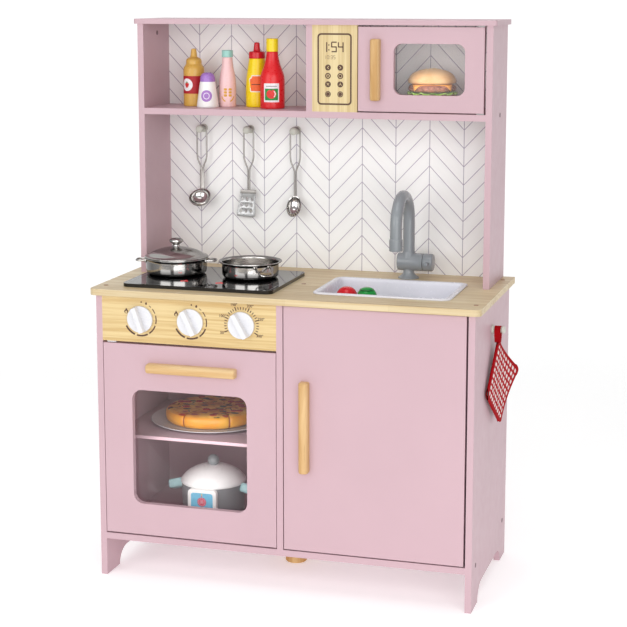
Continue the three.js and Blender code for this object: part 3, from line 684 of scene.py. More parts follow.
# ---- Knobs and printed marks --------------------------------------------------------------------
def knob(node, lean):
    """A round disc with a bar grip across it that leans to the left by some degrees."""
    low, high = node_box(node)
    centre = middle(node)
    radius = (high.x - low.x) / 2
    disc_thick, half_grip, grip_height = 4, 4.2, 15.5
    back = low.y + grip_height
    disc = rounded([(0, 0), (radius, 0), (radius, disc_thick), (0, disc_thick)], [0, 0.4, 1.2, 0], 4)

    def grip_outline(inset):
        r = radius - 0.5 - inset
        a = math.degrees(math.asin((half_grip - inset) / r))
        return arc((0, 0), r, -a, a, 8) + arc((0, 0), r, 180 - a, 180 + a, 8)

    levels = [(0, 3.5), (0, grip_height - 1.2), (0.35, grip_height - 0.35), (1.2, grip_height)]
    grip = loft([[(x, y, z) for x, y in grip_outline(inset)] for inset, z in levels], cap_start=False)
    stem = rounded([(0, -18), (3, -18), (3, 0.5), (0, 0.5)], 0.2, 2)
    piece = Piece(node + "_cap")
    for shape in (lathe(disc, 64), turned(grip, 90 + lean, "Z"), lathe(stem, 20)):
        piece.add(shifted(upright(shape), centre.x, back, centre.z))
    piece.build(WHITE, node, [node], "white_plastic", 35)


class Marks:
    """Flat printed marks just proud of a front face."""

    def __init__(self, name, plane_y):
        self.piece = Piece(name)
        self.y = plane_y

    def add(self, shape, x, z):
        self.piece.add(shifted(upright(shape), x, self.y, z))

    def outline(self, points, x, z):
        self.add(flat_shape([points], 0), x, z)

    def ring(self, radius, width, start, end, x, z, steps=14):
        """An arc band; angles clockwise from straight up, in degrees."""
        outer = arc((0, 0), radius + width / 2, 90 - start, 90 - end, steps)
        inner = arc((0, 0), radius - width / 2, 90 - end, 90 - start, steps)
        self.outline(outer + inner, x, z)

    def disc(self, radius, x, z):
        self.outline(circle(radius), x, z)

    def line(self, a, b, width, x=0.0, z=0.0):
        a, b = Vector(a), Vector(b)
        side = (b - a).normalized().orthogonal() * width / 2
        self.outline([a + side, a - side, b - side, b + side], x, z)

    def build(self, material, body, slot):
        self.piece.build(material, body, (), slot, 0)


def flame(size):
    """Outline of a plain flame."""
    half = [(0, 1.0), (0.22, 0.62), (0.5, 0.3), (0.6, -0.15), (0.42, -0.55), (0.0, -0.75)]
    left = [(-0.42, -0.55), (-0.6, -0.15), (-0.46, 0.22), (-0.2, 0.4)]
    return [tuple(p) for p in rounded([(x * size, z * size) for x, z in half + left], size * 0.2, 3, True)]


def burner_dial(marks, c):
    """A flame, a dot and a smaller flame, then strokes that grow thicker clockwise."""
    tongue = [(x * 0.5, z * 0.5 - 1.4) for x, z in flame(5.6)]
    marks.add(flat_shape([flame(5.6), tongue], 0), c.x - 23.6, c.z + 11.5)
    marks.disc(1.3, c.x + 1.8, c.z + 26.8)
    marks.outline(flame(3.0), c.x + 9.8, c.z + 25.0)
    for start, end, width in [(34, 43, 1.1), (50, 68, 1.5), (75, 104, 1.9), (111, 146, 2.3),
                              (153, 194, 2.6), (201, 244, 2.9)]:
        marks.ring(26.2, width, start, end, c.x, c.z)


def degree_dial(marks, c):
    """Ticks all round but the foot, with a number of degrees at every fifth."""
    count, first, last = 26, -114, 118
    for k in range(count):
        out = direction(90 - (first + (last - first) * k / (count - 1)))
        major = k % 5 == 0
        start, end, width = (23.2, 29.6, 1.7) if major else (24.0, 28.0, 1.4)
        marks.line(out * start, out * end, width, c.x, c.z)
        if major:
            place = out * 33.2
            marks.add(figures("%d°" % (50 + k * 10), 6.0), c.x + place.x, c.z + place.y)


def dial_marks():
    """The print round the three knobs."""
    marks = Marks("fascia_print", node_box("control_fascia")[0].y - PRINT_LIFT)
    burner_dial(marks, middle("left_knob"))
    burner_dial(marks, middle("middle_knob"))
    degree_dial(marks, middle("right_knob"))
    marks.build(INK, "kitchen", "maple_veneer")


def seven_segment(figure, width, height):
    """Line ends of one numeral on a clock display."""
    w, h = width / 2, height / 2
    ends = {"a": ((-w, h), (w, h)), "b": ((w, h), (w, 0)), "c": ((w, 0), (w, -h)), "d": ((-w, -h), (w, -h)),
            "e": ((-w, 0), (-w, -h)), "f": ((-w, h), (-w, 0)), "g": ((-w, 0), (w, 0))}
    lit = {"0": "abcdef", "1": "bc", "3": "abcdg", "4": "fgbc", "5": "afgcd"}[figure]
    return [(Vector(ends[k][0]), Vector(ends[k][1])) for k in lit]


def clock(marks, figures_and_places, size, stroke, tail, z):
    """Numerals of lit segments at places across the panel. tail lengthens each segment."""
    for figure, x in figures_and_places:
        for a, b in seven_segment(figure, *size):
            marks.line(a, b + (b - a).normalized() * tail, stroke, x, z)


def button_sign(light, row, column, x, z):
    """The sign on one round button: arrows, rings, rays and an empty ring, from the top row down."""
    if row == 0:
        s = 1 if column == 0 else -1
        light.line((1.3 * s, 2.1), (-1.1 * s, 0), 0.8, x, z)
        light.line((-1.1 * s, 0), (1.3 * s, -2.1), 0.8, x, z)
    elif row == 1:
        light.ring(2.6, 0.8, 0, 359, x, z, 20)
        if column == 0:
            light.line((-2.4, 0), (2.4, 0), 0.7, x, z)
    elif row == 2:
        for angle in ((45, 135) if column == 0 else (90, 210, 330)):
            ray = direction(angle) * 2.8
            light.line(-ray if column == 0 else (0, 0), ray, 0.8, x, z)
    else:
        light.ring(3.2, 0.4, 0, 359, x, z, 20)


def display_marks():
    """The microwave's printed panel: a frame, a clock, a smaller time and two columns of buttons."""
    low, high = node_box("microwave_fascia")
    front = low.y - PRINT_LIFT
    x0, z0 = low.x, high.z
    left, right, foot_z, top_z = x0 + 8.6, x0 + 64.2, z0 - 124.2, z0 - 12.8
    stroke = 2.6
    marks = Marks("display_print", front)
    outer = rounded_rect(left, right, foot_z, top_z, 6.0)
    inner = rounded_rect(left + stroke, right - stroke, foot_z + stroke, top_z - stroke, 3.8)
    marks.add(flat_shape([outer, inner], 0), 0, 0)
    light = Marks("display_icons", front - 0.05)
    for column, x in enumerate((x0 + 25.8, x0 + 45.8)):
        for row, z in enumerate((z0 - 66.0, z0 - 79.0, z0 - 92.0, z0 - 107.4)):
            marks.disc(4.7, x, z)
            button_sign(light, row, column, x, z)
    clock(marks, [("1", x0 + 20.0), ("5", x0 + 35.4), ("4", x0 + 46.4)], (7.5, 14.6), 1.9, 0.7, z0 - 34.0)
    marks.disc(1.1, x0 + 27.2, z0 - 31.0)
    marks.disc(1.1, x0 + 27.2, z0 - 38.6)
    marks.build(INK, "kitchen", "maple_veneer")
    light.build(MAPLE_UPRIGHT, "kitchen", "maple_veneer")
    small = Marks("display_small_print", front)
    time = [("1", x0 + 20.9), ("0", x0 + 25.9), ("3", x0 + 31.8), ("5", x0 + 36.2)]
    clock(small, time, (2.7, 5.2), 0.75, 0.0, z0 - 50.0)
    small.disc(0.5, x0 + 28.9, z0 - 48.8)
    small.disc(0.5, x0 + 28.9, z0 - 51.4)
    small.build(PALE_INK, "kitchen", "maple_veneer")


def hob_marks():
    """A fine border line and two small red touch signs on the glass, the signs with a painted glow."""
    low, high = node_box("hob_plate")
    # Painted glow: the red print emits a faint light of its own.
    red = Finish("red_mark_painted_glow", srgb(226, 16, 28), 0.5, Emission_Color=(1, 0.02, 0.03, 1),
                 Emission_Strength=0.25)
    signs = Piece("hob_print")
    ring = flat_shape([circle(6.2), circle(3.6)], 0)
    bar = flat_shape([box_outline(1.2, 0.6, 9.0)], 0)
    for x, y in ((low.x + 88, low.y + 46), (low.x + 147, low.y + 44)):
        signs.add(shifted(ring, x, y, high.z + 0.05))
        signs.add(shifted(bar, x, y, high.z + 0.07))
    signs.build(red.worn(0.05, 300).material, "kitchen", (), "hob_black", 0)
    edges = [rounded_rect(low.x + inset, high.x - inset, low.y + inset, high.y - inset, corner)
             for inset, corner in ((5.4, 8), (6.2, 7.4))]
    border = Piece("hob_border").add(shifted(flat_shape(edges, 0), 0, 0, high.z + 0.04))
    border.build(moulded("hob_line_grey", srgb(140, 140, 142), 0.3), "kitchen", (), "hob_black", 0)


def screw_caps():
    """Round plastic caps over the screws."""
    worktop, panels = Piece("worktop_caps"), Piece("panel_caps")
    mid, top = middle("countertop").x, node_box("countertop")[1].z
    front = node_box("left_side_panel")[0].y
    cap = lathe(rounded([(0, 0), (3.7, 0), (3.7, 0.5), (0, 0.8)], [0, 0, 0.4, 0], 3), 24)
    for x, y in ((-295, 28), (0, 127), (295, 29), (295, 252), (-295, 252)):
        worktop.add(shifted(cap, mid + x, front + y, top))
    for sign, corner, hand in ((-1, 0, "left"), (1, 1, "right")):
        sideways = turned(cap, 90 * sign, "Y")
        lower = node_box(hand + "_side_panel")[corner].x
        upper = node_box("upper_" + hand + "_panel")[corner].x
        for x, y, z in ((lower, 30.7, 65.5), (lower, 258, 63.5), (upper, 228, 730.5)):
            panels.add(shifted(sideways, x, front + y, z))
    inner = node_box("upper_left_panel")[1].x
    panels.add(shifted(turned(cap, 90, "Y"), inner, front + 219.5, 854.5))
    worktop.build(CAP, "kitchen", (), "worktop_wood", 40)
    panels.build(PANEL_CAP, "kitchen", (), "pink_board", 40)


def fittings():
    """Small visible fittings: the oven's catch and the microwave's pivot plates."""
    low, _ = node_box("oven_door")
    fascia = node_box("control_fascia")[0].z
    catch = Piece("oven_catch")
    catch.add(shifted(block((15, 9, 2.6), 0.8), low.x + 13, low.y + 6.5, fascia - 1.45))
    catch.build(WHITE, "kitchen", (), "white_plastic", 40)
    low, high = node_box("microwave_door")
    plates = Piece("pivot_plates")
    for z in (low.z - 0.9, high.z + 1.2):
        plates.add(shifted(block((12, 8, 1.4), 0.4), high.x - 5.5, low.y + 4.5, z))
    plates.build(SATIN_STEEL, "kitchen", (), "hinge_steel", 40)


# ---- Sink and faucet ---------------------------------------------------------------------------
def sink():
    """A tub with a rolled rim, its outside under the worktop, and a plug in its floor."""
    low, high = node_box("sink_basin")
    counter = node_box("countertop")[1].z
    rim, floor = high.z, low.z + 2.5
    wall = 9.5  # from the outside of the rim to the inside of the tub

    def loop(inset, z, corner):
        outline = rounded_rect(low.x + inset, high.x - inset, low.y + inset, high.y - inset, corner, 8)
        return [(x, y, z) for x, y in outline]

    inside = [loop(*level) for level in (
        (0.6, counter + 0.05, 14.5), (0, counter + 0.8, 15), (0, rim - 1.4, 15), (0.5, rim - 0.45, 14.5),
        (1.7, rim, 13.5), (6.2, rim, 9.5), (7.9, rim - 0.6, 8.2), (9.0, rim - 2.2, 7.4), (wall, rim - 5, 7),
        (wall + 0.6, floor + 8, 7), (wall + 1.6, floor + 3, 7.5), (wall + 4.0, floor + 0.7, 8),
        (wall + 8, floor, 8))]
    outside = [loop(*level) for level in (
        (7.2, counter + 0.05, 8), (7.2, low.z + 4, 8), (9, low.z + 0.8, 8), (12, low.z, 8))]
    plug = lathe([(0, 0.15), (8.8, 0.15), (10.2, 0.9), (11.6, 0.9), (12.2, 0)], 40)
    centre = middle("sink_basin")
    piece = Piece("sink_tub")
    piece.add(loft(inside, cap_start=False))
    piece.add(loft(inside[:1] + outside, cap_start=False))
    piece.add(shifted(plug, centre.x + 20, centre.y, floor))
    piece.build(SINK_WHITE, "kitchen", ["sink_basin"], "white_plastic", 45)


def level(profile, segments):
    """A turned shape lying along X."""
    return turned(lathe(profile, segments), 90, "Y")


def faucet():
    """A level barrel on a flared foot, with a bent spout above and a stick lever on its end."""
    low, high = node_box("faucet_base")
    spout_low, spout_high = node_box("faucet_spout")
    x = spout_low.x + (spout_high.x - spout_low.x) / 2
    y = (low.y + high.y) / 2
    r = 14.2
    axis = high.z - r
    length = high.x - low.x
    base = rounded([(0, 0), (16.9, 0), (16.9, 1.6), (12.2, 4.4), (8.6, 9.5), (8.4, 16), (8.4, 24), (0, 24)],
                   [0, 0.4, 1.2, 4, 4, 2, 0, 0], 5)
    barrel = rounded([(0, 0), (r, 0), (r, length), (0, length)], [0, 1.3, 0.7, 0], 4)
    seam = rounded([(r - 0.3, 0), (r + 0.12, 0.25), (r + 0.12, 0.75), (r - 0.3, 1.0)], 0.1, 2)
    collar = rounded([(9.6, 0), (13.5, 2.0), (11.2, 8.0), (9.75, 12.5), (9.6, 12.8)], 2.5, 5)
    body = Piece("faucet_body")
    body.add(shifted(lathe(base, 48), x, y, low.z))
    body.add(shifted(level(barrel, 56), low.x, y, axis))
    body.add(shifted(level(seam, 56), low.x + 14.5, y, axis))
    body.add(shifted(lathe(collar, 48), x, y, axis + 4.0))
    body.build(GREY, "kitchen", ["faucet_base"], "grey_plastic", 45)
    spout(x, y, axis, spout_high.z)
    lever(y, axis, r)


def spout(x, y, axis, top):
    """A pipe bent over forwards, with a ring and a white nozzle at its tip."""
    reach, pipe_r = 88.0, 9.4
    bend = reach / 2
    spring = top - pipe_r - bend
    tip = axis + 30.3
    path = [(x, y, axis + 1 + (spring - axis - 1) * k / 6) for k in range(6)]
    path += [(x, y - bend + bend * math.cos(math.radians(a)), spring + bend * math.sin(math.radians(a)))
             for a in range(0, 181, 6)]
    path += [(x, y - reach, spring + (tip + 1 - spring) * k / 4) for k in range(1, 5)]
    ring = rounded([(9.0, 1.2), (9.8, 0), (10.5, 0.4), (10.5, 17.6), (10.1, 18.8), (9.2, 19.4)], 0.6, 3)
    pipe = Piece("faucet_pipe")
    pipe.add(tube(path, pipe_r, 40))
    pipe.add(shifted(lathe(ring, 48), x, y - reach, tip))
    pipe.build(GREY, "faucet_spout", ["faucet_spout"], "grey_plastic", 45)
    nozzle = [(0, 0.6), (3, 0.6), (3.6, 0.1), (8.6, 0.1), (9.2, 1.4)]
    lathed("faucet_nozzle", (x, y - reach, tip), nozzle, 0.3, 2, 40, WHITE, "faucet_spout", (),
           "white_plastic", 45)


def lever(y, axis, r):
    """The barrel's turning end, its axle, and the stick that points forwards."""
    low, high = node_box("faucet_lever")
    start = low.x + 9
    end = rounded([(0, 0), (r, 0), (r, high.x - start), (0, high.x - start)], [0, 0.6, 4.2, 0], 6)
    axle = [(0, 0), (4, 0), (4, 9.5), (0, 9.5)]
    stick = rounded([(0, 0), (3.4, 0), (3.1, y - low.y), (0, y - low.y)], [0, 0, 1.6, 0], 4)
    piece = Piece("faucet_handle")
    piece.add(shifted(level(end, 56), start, y, axis))
    piece.add(shifted(level(axle, 20), low.x, y, axis))
    piece.add(shifted(upright(lathe(stick, 28)), start + 8, y, axis))
    piece.build(GREY, "faucet_lever", ["faucet_lever"], "grey_plastic", 45)


# ---- Hooks and utensils ------------------------------------------------------------------------
def hooks():
    """Turned pegs: three on the back panel, and one on the right side for the pot holder."""
    wall = [(0, 0), (7, 0), (7, 1.8), (4.4, 5.0), (4, 17), (6.3, 19.3), (6.3, 24), (4.4, 26.6), (0, 27)]
    wall = lathe(rounded(wall, [0, 0.3, 1.2, 2.5, 1.5, 1.0, 2.4, 2.4, 0], 4), 32)
    for node in ("left_hook", "middle_hook", "right_hook"):
        c, back = middle(node), node_box(node)[1].y
        peg = Piece(node + "_peg").add(shifted(upright(wall), c.x, back, c.z))
        peg.build(PEG, "kitchen", [node], "hook_wood", 60)
    side = [(0, 0), (7, 0), (7, 1.5), (4.2, 4.3), (4.2, 14), (5.8, 15.6), (5.8, 19), (4, 20.6), (0, 21)]
    side = level(rounded(side, [0, 0.3, 1.0, 1.5, 1.2, 0.8, 1.8, 1.8, 0], 4), 32)
    c, start = middle("side_hook"), node_box("side_hook")[0].x
    peg = Piece("side_hook_peg").add(shifted(side, start, c.y, c.z))
    peg.build(PEG, "kitchen", ["side_hook"], "hook_wood", 60)


def wire_loop(x, y, top, stem_bottom):
    """A bent wire handle: a rounded loop above, drawn in to two wires side by side below."""
    half, r = 8.4, 1.25
    centre = top - r - half
    points = [(x + 1.4, stem_bottom), (x + 1.4, top - 78), (x + 1.5, top - 72), (x + half, top - 57),
              (x + half, centre)]
    side = [tuple(p) for p in rounded(points, [0, 2, 6, 8, 0], 5)]
    half_path = side[:-1] + arc((x, centre), half, 0, 90, 8)
    mirrored = [(2 * x - px, pz) for px, pz in reversed(half_path[:-1])]
    return tube([(px, y, pz) for px, pz in half_path + mirrored], r, 12)


def dish(radius, depth, wall):
    """A bowl of thin sheet, open towards +Z, its rim at z = 0."""
    def bowl(r, d):
        turns = [math.pi / 2 * i / 12 for i in range(1, 13)]
        return [(0, -d)] + [(r * math.sin(a), -d * math.cos(a)) for a in turns]

    lip = [(radius + 0.5, 0.3), (radius + 0.1, 0.8), (radius - wall - 0.2, 0.4)]
    inner = bowl(radius - wall, depth - wall)
    return lathe(bowl(radius, depth) + lip + inner[::-1])


def ladle():
    """A wire handle, a flat strip under it and a small tilted bowl."""
    hook = middle("left_hook")
    y = middle("turner").y
    top = node_box("ladle")[1].z
    strip = rounded_rect(-3.8, 3.8, -0.75, 0.75, 0.7, 3)
    loops = [[(hook.x + px * width, y + py + dy, top + dz) for px, py in strip]
             for width, dy, dz in ((0.45, 0, -71), (1, 0, -78), (1, 0, -103), (1, -0.6, -107.5),
                                   (1, -3.0, -110.5))]
    scoop = turned(dish(18.0, 13.5, 0.9), 40, "X")
    piece = Piece("ladle_wire")
    piece.add(wire_loop(hook.x, y, top, top - 79))
    piece.add(loft(loops))
    piece.add(shifted(scoop, hook.x, y - 12.8, hook.z - 113.5), 1)
    piece.build([WIRE_STEEL, STEEL], "ladle", ["ladle"], "steel", 50)


def turner():
    """A wire handle, a band and a flared blade with nine leaning oval holes."""
    low, high = node_box("turner")
    hook = middle("middle_hook")
    y = (low.y + high.y) / 2
    corners = [(-14.2, -103), (-22.4, -145.3), (10.3, -146.8), (12.2, -103)]
    outlines = [rounded(corners, [1.2, 4.0, 4.0, 1.2], 5, True)]
    c, s = math.cos(math.radians(12)), math.sin(math.radians(12))
    for row in range(3):
        for column in range(3):
            cx, cz = -3.1 + (column - 1) * 8.8 - row * 1.2, -116.5 - row * 9.8
            outlines.append([(cx + px * c + pz * s * 0.6, cz - px * s + pz * c)
                             for px, pz in oval(0, 0, 2.0, 3.4, 20)])
    piece = Piece("turner_wire")
    piece.add(wire_loop(hook.x, y, high.z, hook.z - 107))
    piece.add(shifted(upright(flat_shape(outlines, 1.1, 0.25)), hook.x, y, hook.z), 1)
    piece.build([WIRE_STEEL, SHEET_STEEL], "turner", ["turner"], "steel", 40)
    wrap = Piece("turner_band")
    wrap.add(shifted(block((27.0, 2.3, 6.2), 0.9), hook.x - 1.0, y, hook.z - 103.8))
    wrap.build(WIRE_STEEL, "turner", (), "steel", 40)


def pasta_server():
    """A wire handle and a long tilted bowl with nine teeth round its lower edge."""
    top = node_box("pasta_server")[1].z
    hook = middle("right_hook")
    y = middle("turner").y
    tilt = Matrix.Rotation(math.radians(62), 4, "X")
    bowl_place = (hook.x, y - 8.4, hook.z - 124.5)
    piece = Piece("pasta_server_wire")
    piece.add(wire_loop(hook.x, y, top, hook.z - 109))
    scoop = moved(dish(15.0, 11.5, 0.9), tilt @ Matrix.Diagonal((0.8, 1.2, 1, 1)))
    piece.add(shifted(scoop, *bowl_place), 1)
    tooth = lathe([(0, 0), (1.5, 0), (1.25, 5.5), (0.8, 7.2), (0, 7.8)], 14)
    for i in range(9):
        a = math.radians(196 + i * 18.5)
        lean = Matrix.Rotation(math.radians(-14), 4, Vector((-math.sin(a), math.cos(a), 0)))
        place = tilt @ Matrix.Translation((11.3 * math.cos(a), 16.6 * math.sin(a), -1.6)) @ lean
        piece.add(shifted(moved(tooth, place), *bowl_place), 1)
    piece.build([WIRE_STEEL, STEEL], "pasta_server", ["pasta_server"], "steel", 50)


# ---- Pots --------------------------------------------------------------------------------------
def pot(node, turn, droop, radius, rim):
    """A steel pan with two bent wire handles, which hang by droop. turn is in degrees about Z."""
    height, half_grip, reach = 27.0, 12, 65.0
    outer = rounded([(0, 0), (radius - 7, 0), (radius - 1.0, 2.5), (radius, 9), (radius, height - 4.2),
                     (rim - 0.8, height - 1.9), (rim, height - 0.9), (rim - 0.8, height)],
                    [0, 3, 5, 5, 2.0, 1.2, 0.8, 0], 5)
    inner = rounded([(rim - 1.4, height), (radius - 0.2, height - 1.5), (radius - 0.9, height - 3.2),
                     (radius - 1.0, 9), (radius - 2.4, 3.2), (radius - 8, 1.1), (0, 1.1)],
                    [0, 0.5, 0.5, 3, 3, 3, 0], 4)
    root = math.sqrt((radius - 0.2) ** 2 - half_grip ** 2)
    z = height - 5.0
    near = [(root, -half_grip, z), (reach - 6, -11.2, z - droop * 0.78), (reach - 0.5, -8.4, z - droop)]
    far = [(px, -py, pz) for px, py, pz in near[::-1]]
    wire = tube(rounded(near + [(reach, 0, z - droop)] + far, [0, 5, 4, 0, 4, 5, 0], 5), 1.45, 14)
    piece = Piece(node + "_shell")
    piece.add(lathe(outer, 96))
    piece.add(lathe(outer[-1:] + inner, 96), 1)
    for flip in (0, 180):
        piece.add(turned(wire, flip, "Z"))
        for side in (-half_grip, half_grip):
            plate = shifted(block((2.4, 6.4, 6.0), 1.0), root + 0.9, side, z)
            piece.add(turned(plate, flip, "Z"))
    place = Matrix.Translation(foot(node) * MM) @ Matrix.Rotation(math.radians(turn), 4, "Z")
    piece.verts = [tuple(place @ Vector(v)) for v in piece.verts]
    piece.build([STEEL, BRUSHED_STEEL], node, [node], "steel", 40)


def lid():
    """A spun dome with a turned knob."""
    centre = foot("pot_lid")
    dome = rounded([(0, 16.1), (9, 15.9), (25, 13.4), (38.5, 8.4), (45.4, 3.4), (50.6, 2.1), (51.6, 1.2),
                    (50.9, 0.2), (48, 0.5), (30, 1.2), (0, 1.2)], [0, 4, 8, 8, 3, 1.5, 0.8, 0.5, 1, 4, 0], 6)
    grip = rounded([(0, 15.6), (7.0, 15.8), (5.4, 17.6), (4.8, 20.0), (8.2, 22.4), (11.4, 25.0), (11.2, 27.4),
                    (8.2, 29.6), (4.0, 30.6), (0, 30.9)], [0, 0.8, 1.5, 1.5, 1.5, 1.0, 1.2, 1.5, 1.5, 0], 5)
    piece = Piece("pot_lid_dome")
    piece.add(shifted(lathe(dome, 96), *centre))
    piece.add(shifted(lathe(grip, 48), *centre), 1)
    piece.build([SPUN_STEEL, STEEL], "pot_lid", ["pot_lid"], "steel", 40)


# ---- Shelf bottles -----------------------------------------------------------------------------
def radius_at(profile, z):
    """Radius of a turned profile at a height."""
    for (r0, z0), (r1, z1) in zip(profile, profile[1:]):
        if z0 <= z <= z1 and z1 > z0:
            return r0 + (r1 - r0) * (z - z0) / (z1 - z0)
    return profile[-1][0]


def wrapped(outlines, profile, facing, lift):
    """A flat outline in (width, height) laid round a turned body, facing an azimuth from the front."""
    verts, faces = flat_shape(outlines, 0)
    flat = bmesh.new()
    made = [flat.verts.new(v) for v in verts]
    for face in faces:
        flat.faces.new([made[i] for i in face])
    cut = min(v.x for v in verts) + 1.0
    high = max(v.x for v in verts)
    while cut < high:
        geometry = flat.verts[:] + flat.edges[:] + flat.faces[:]
        bmesh.ops.bisect_plane(flat, geom=geometry, plane_co=(cut, 0, 0), plane_no=(1, 0, 0))
        cut += 1.2
    flat.verts.index_update()
    out = []
    for v in flat.verts:
        r = radius_at(profile, v.co.y) + lift
        a = math.radians(facing - 90) + v.co.x / r
        out.append(Vector((r * math.cos(a), r * math.sin(a), v.co.y)))
    new_faces = [tuple(v.index for v in f.verts) for f in flat.faces]
    flat.free()
    return out, new_faces


def bottle(node, slot, color, profile, radii, cap, facing, labels):
    """A turned bottle with a cap and printed labels.

    cap is (name, material, profile, radii) or None. Each label is (name, colour, outlines, lift), its
    outlines in width and height, laid round the side that faces so many degrees from the front.
    """
    centre = foot(node)
    shape = rounded(profile, radii, 6)
    body = Piece(node + "_body").add(shifted(lathe(shape, 64), *centre))
    body.build(moulded(node + "_plastic", srgb(*color), 0.3), node, [node], slot, 50)
    if cap:
        name, material, cap_profile, cap_radii = cap
        lathed(name, centre, cap_profile, cap_radii, 6, 56, material, node, (), slot)
    heights = [(p.x, p.y) for p in shape]
    for name, label_color, outlines, lift in labels:
        label = Piece(name).add(shifted(wrapped(outlines, heights, facing, lift), *centre))
        label.build(print_ink(name + "_ink", srgb(*label_color)), node, (), slot, 0)


def sized(outline, kx, kz, dx, dz):
    """An outline scaled, then shifted."""
    return [(x * kx + dx, z * kz + dz) for x, z in outline]


def honey():
    """A jar with a red label, and a fruit with a leaf on a pale oval."""
    fruit = rounded([(-5.2, 3.6), (-4.8, -1), (0, -6.6), (4.8, -1), (5.2, 3.6), (0, 5.2)], 2.2, 4, True)
    leaf = [(-3.0, 5.6), (0, 4.2), (3.0, 5.6), (1.2, 6.6), (0, 8.0), (-1.2, 6.6)]
    bottle("honey_bottle", "honey_amber", (215, 170, 80),
           [(0, 0), (17.3, 0), (17.3, 62.5), (12.8, 68.6), (12.7, 76.5), (7.6, 79.5), (5.8, 80.5),
            (3.9, 93.4), (0, 94)], [0, 2, 5, 1.5, 5, 2, 1.5, 1.2, 0], None, 0,
           [("honey_label", (176, 12, 30), [box_outline(50, 20.6, 49.6)], 0.12),
            ("honey_oval", (240, 236, 238), [oval(-6.5, 35.2, 10.5, 10.3)], 0.2),
            ("honey_fruit", (206, 40, 40), [sized(fruit, 0.8, 0.8, -6.5, 34.6)], 0.28),
            ("honey_leaf", (70, 140, 60), [sized(leaf, 0.8, 0.8, -6.5, 34.6)], 0.34)])


def pepper_shaker():
    """A tapered shaker with a domed cap, and a dot with a ring on its side."""
    cap = [(11.4, 41.4), (12.3, 41.4), (12.2, 48), (9.5, 54.5), (4, 56.5), (0, 56.5)]
    violet = moulded("shaker_violet", srgb(166, 122, 200), 0.28)
    bottle("pepper_shaker", "shaker_white", (243, 242, 240),
           [(0, 0), (17.9, 0), (17.9, 3), (12.4, 42), (0, 42)], [0, 1.6, 3.5, 1.2, 0],
           ("shaker_cap", violet, cap, [0, 0.3, 4, 3.5, 2, 0]), 12,
           [("shaker_dot", (170, 124, 200), [oval(0, 19.0, 9.4, 9.4)], 0.12),
            ("shaker_ring", (238, 230, 244), [oval(0, 19.0, 5.4, 5.4), oval(0, 19.0, 4.2, 4.2)], 0.2)])


def milk():
    """A pale pink bottle with six gold dashes and two gold bows under them."""
    dash = rounded_rect(-2.6, 2.6, -1.9, 1.9, 1.2, 3)
    dashes = [sized(dash, 1, 1, column * 4.0, 19 + row * 4.9) for column in (-1, 1) for row in range(3)]
    bows = []
    for start, end in ((200, 250), (-20, -70)):
        outline = arc((0, 22), 14.5, start, end, 8) + arc((0, 22), 12.4, end, start, 8)
        bows.append(sized(outline, 0.85, 1, 0, 0))
    names = ["milk_marks"] + ["milk_mark_%d" % k for k in range(5)] + ["milk_bow_0", "milk_bow_1"]
    mint = moulded("milk_cap_mint", srgb(156, 210, 200), 0.3)
    bottle("milk_bottle", "milk_pink", (246, 206, 206),
           [(0, 0), (13.9, 0), (13.9, 44), (9.2, 66), (7.9, 81.5), (0, 81.5)], [0, 2, 10, 12, 3, 0],
           ("milk_cap", mint, [(7.4, 80.8), (9.2, 80.8), (9.2, 92), (0, 92)], [0, 0.4, 1.6, 0]), 20,
           [(name, (222, 166, 50), [outline], 0.12) for name, outline in zip(names, dashes + bows)])


def mustard():
    """A bottle with a red spout, and an orange shield with a dark stripe."""
    shield = rounded([(-9.5, -12), (9.5, -12), (12, 8), (8.5, 9), (7.5, 13), (-7.5, 13), (-8.5, 9), (-12, 8)],
                     1.5, 3, True)
    red = moulded("mustard_cap_red", srgb(206, 16, 34), 0.25)
    cap = [(12.4, 78.6), (13.2, 79.2), (13.2, 88), (12.4, 89.6), (6.4, 90.4), (5.6, 92), (4.2, 104.2),
           (0, 105)]
    bottle("mustard_bottle", "mustard_yellow", (250, 220, 10),
           [(0, 0), (18.2, 0), (18.6, 12), (18.2, 44), (12.6, 79.4), (0, 79.4)], [0, 2.5, 12, 14, 2, 0],
           ("mustard_cap", red, cap, [0, 0.5, 1.6, 1.6, 1.5, 1, 1.6, 0]), 14,
           [("mustard_label_rim", (248, 240, 226), [sized(shield, 1.1, 1.1, 0, 38.0)], 0.12),
            ("mustard_label", (246, 108, 48), [sized(shield, 0.95, 0.96, 0, 38.0)], 0.2),
            ("mustard_stripe", (66, 34, 22), [box_outline(8, 36.6, 37.8)], 0.28)])


def ketchup():
    """A bottle with a plain yellow cap, and a tomato on a green panel."""
    yellow = moulded("ketchup_cap_yellow", srgb(246, 218, 30), 0.3)
    shine = arc((0, 24), 7.0, 50, -50, 8) + arc((0, 24), 5.6, -50, 50, 8)
    bottle("ketchup_bottle", "ketchup_red", (222, 32, 38),
           [(0, 0), (19.8, 0), (19.8, 53), (14.0, 66), (9.6, 82), (9.2, 92), (0, 92)],
           [0, 2.5, 8, 9, 8, 3, 0],
           ("ketchup_cap", yellow, [(9.0, 91.2), (9.6, 91.2), (9.6, 112), (0, 112)], [0, 0.4, 1.6, 0]), 13,
           [("ketchup_label", (240, 232, 236), [rounded_rect(-13, 13, 11, 41, 0.6, 2)], 0.12),
            ("ketchup_panel", (22, 140, 56), [rounded_rect(-11, 11, 14, 32.6, 0.6, 2)], 0.2),
            ("ketchup_tomato", (222, 52, 46), [oval(0, 24.0, 8.2, 7.4)], 0.28),
            ("ketchup_shine", (250, 240, 240), [shine], 0.34),
            ("ketchup_leaf", (40, 110, 50), [[(-2.4, 31.2), (0, 29.0), (2.4, 31.2), (0, 32.0)]], 0.36),
            ("ketchup_stripe", (90, 74, 80), [box_outline(9, 36.0, 36.9)], 0.2)])


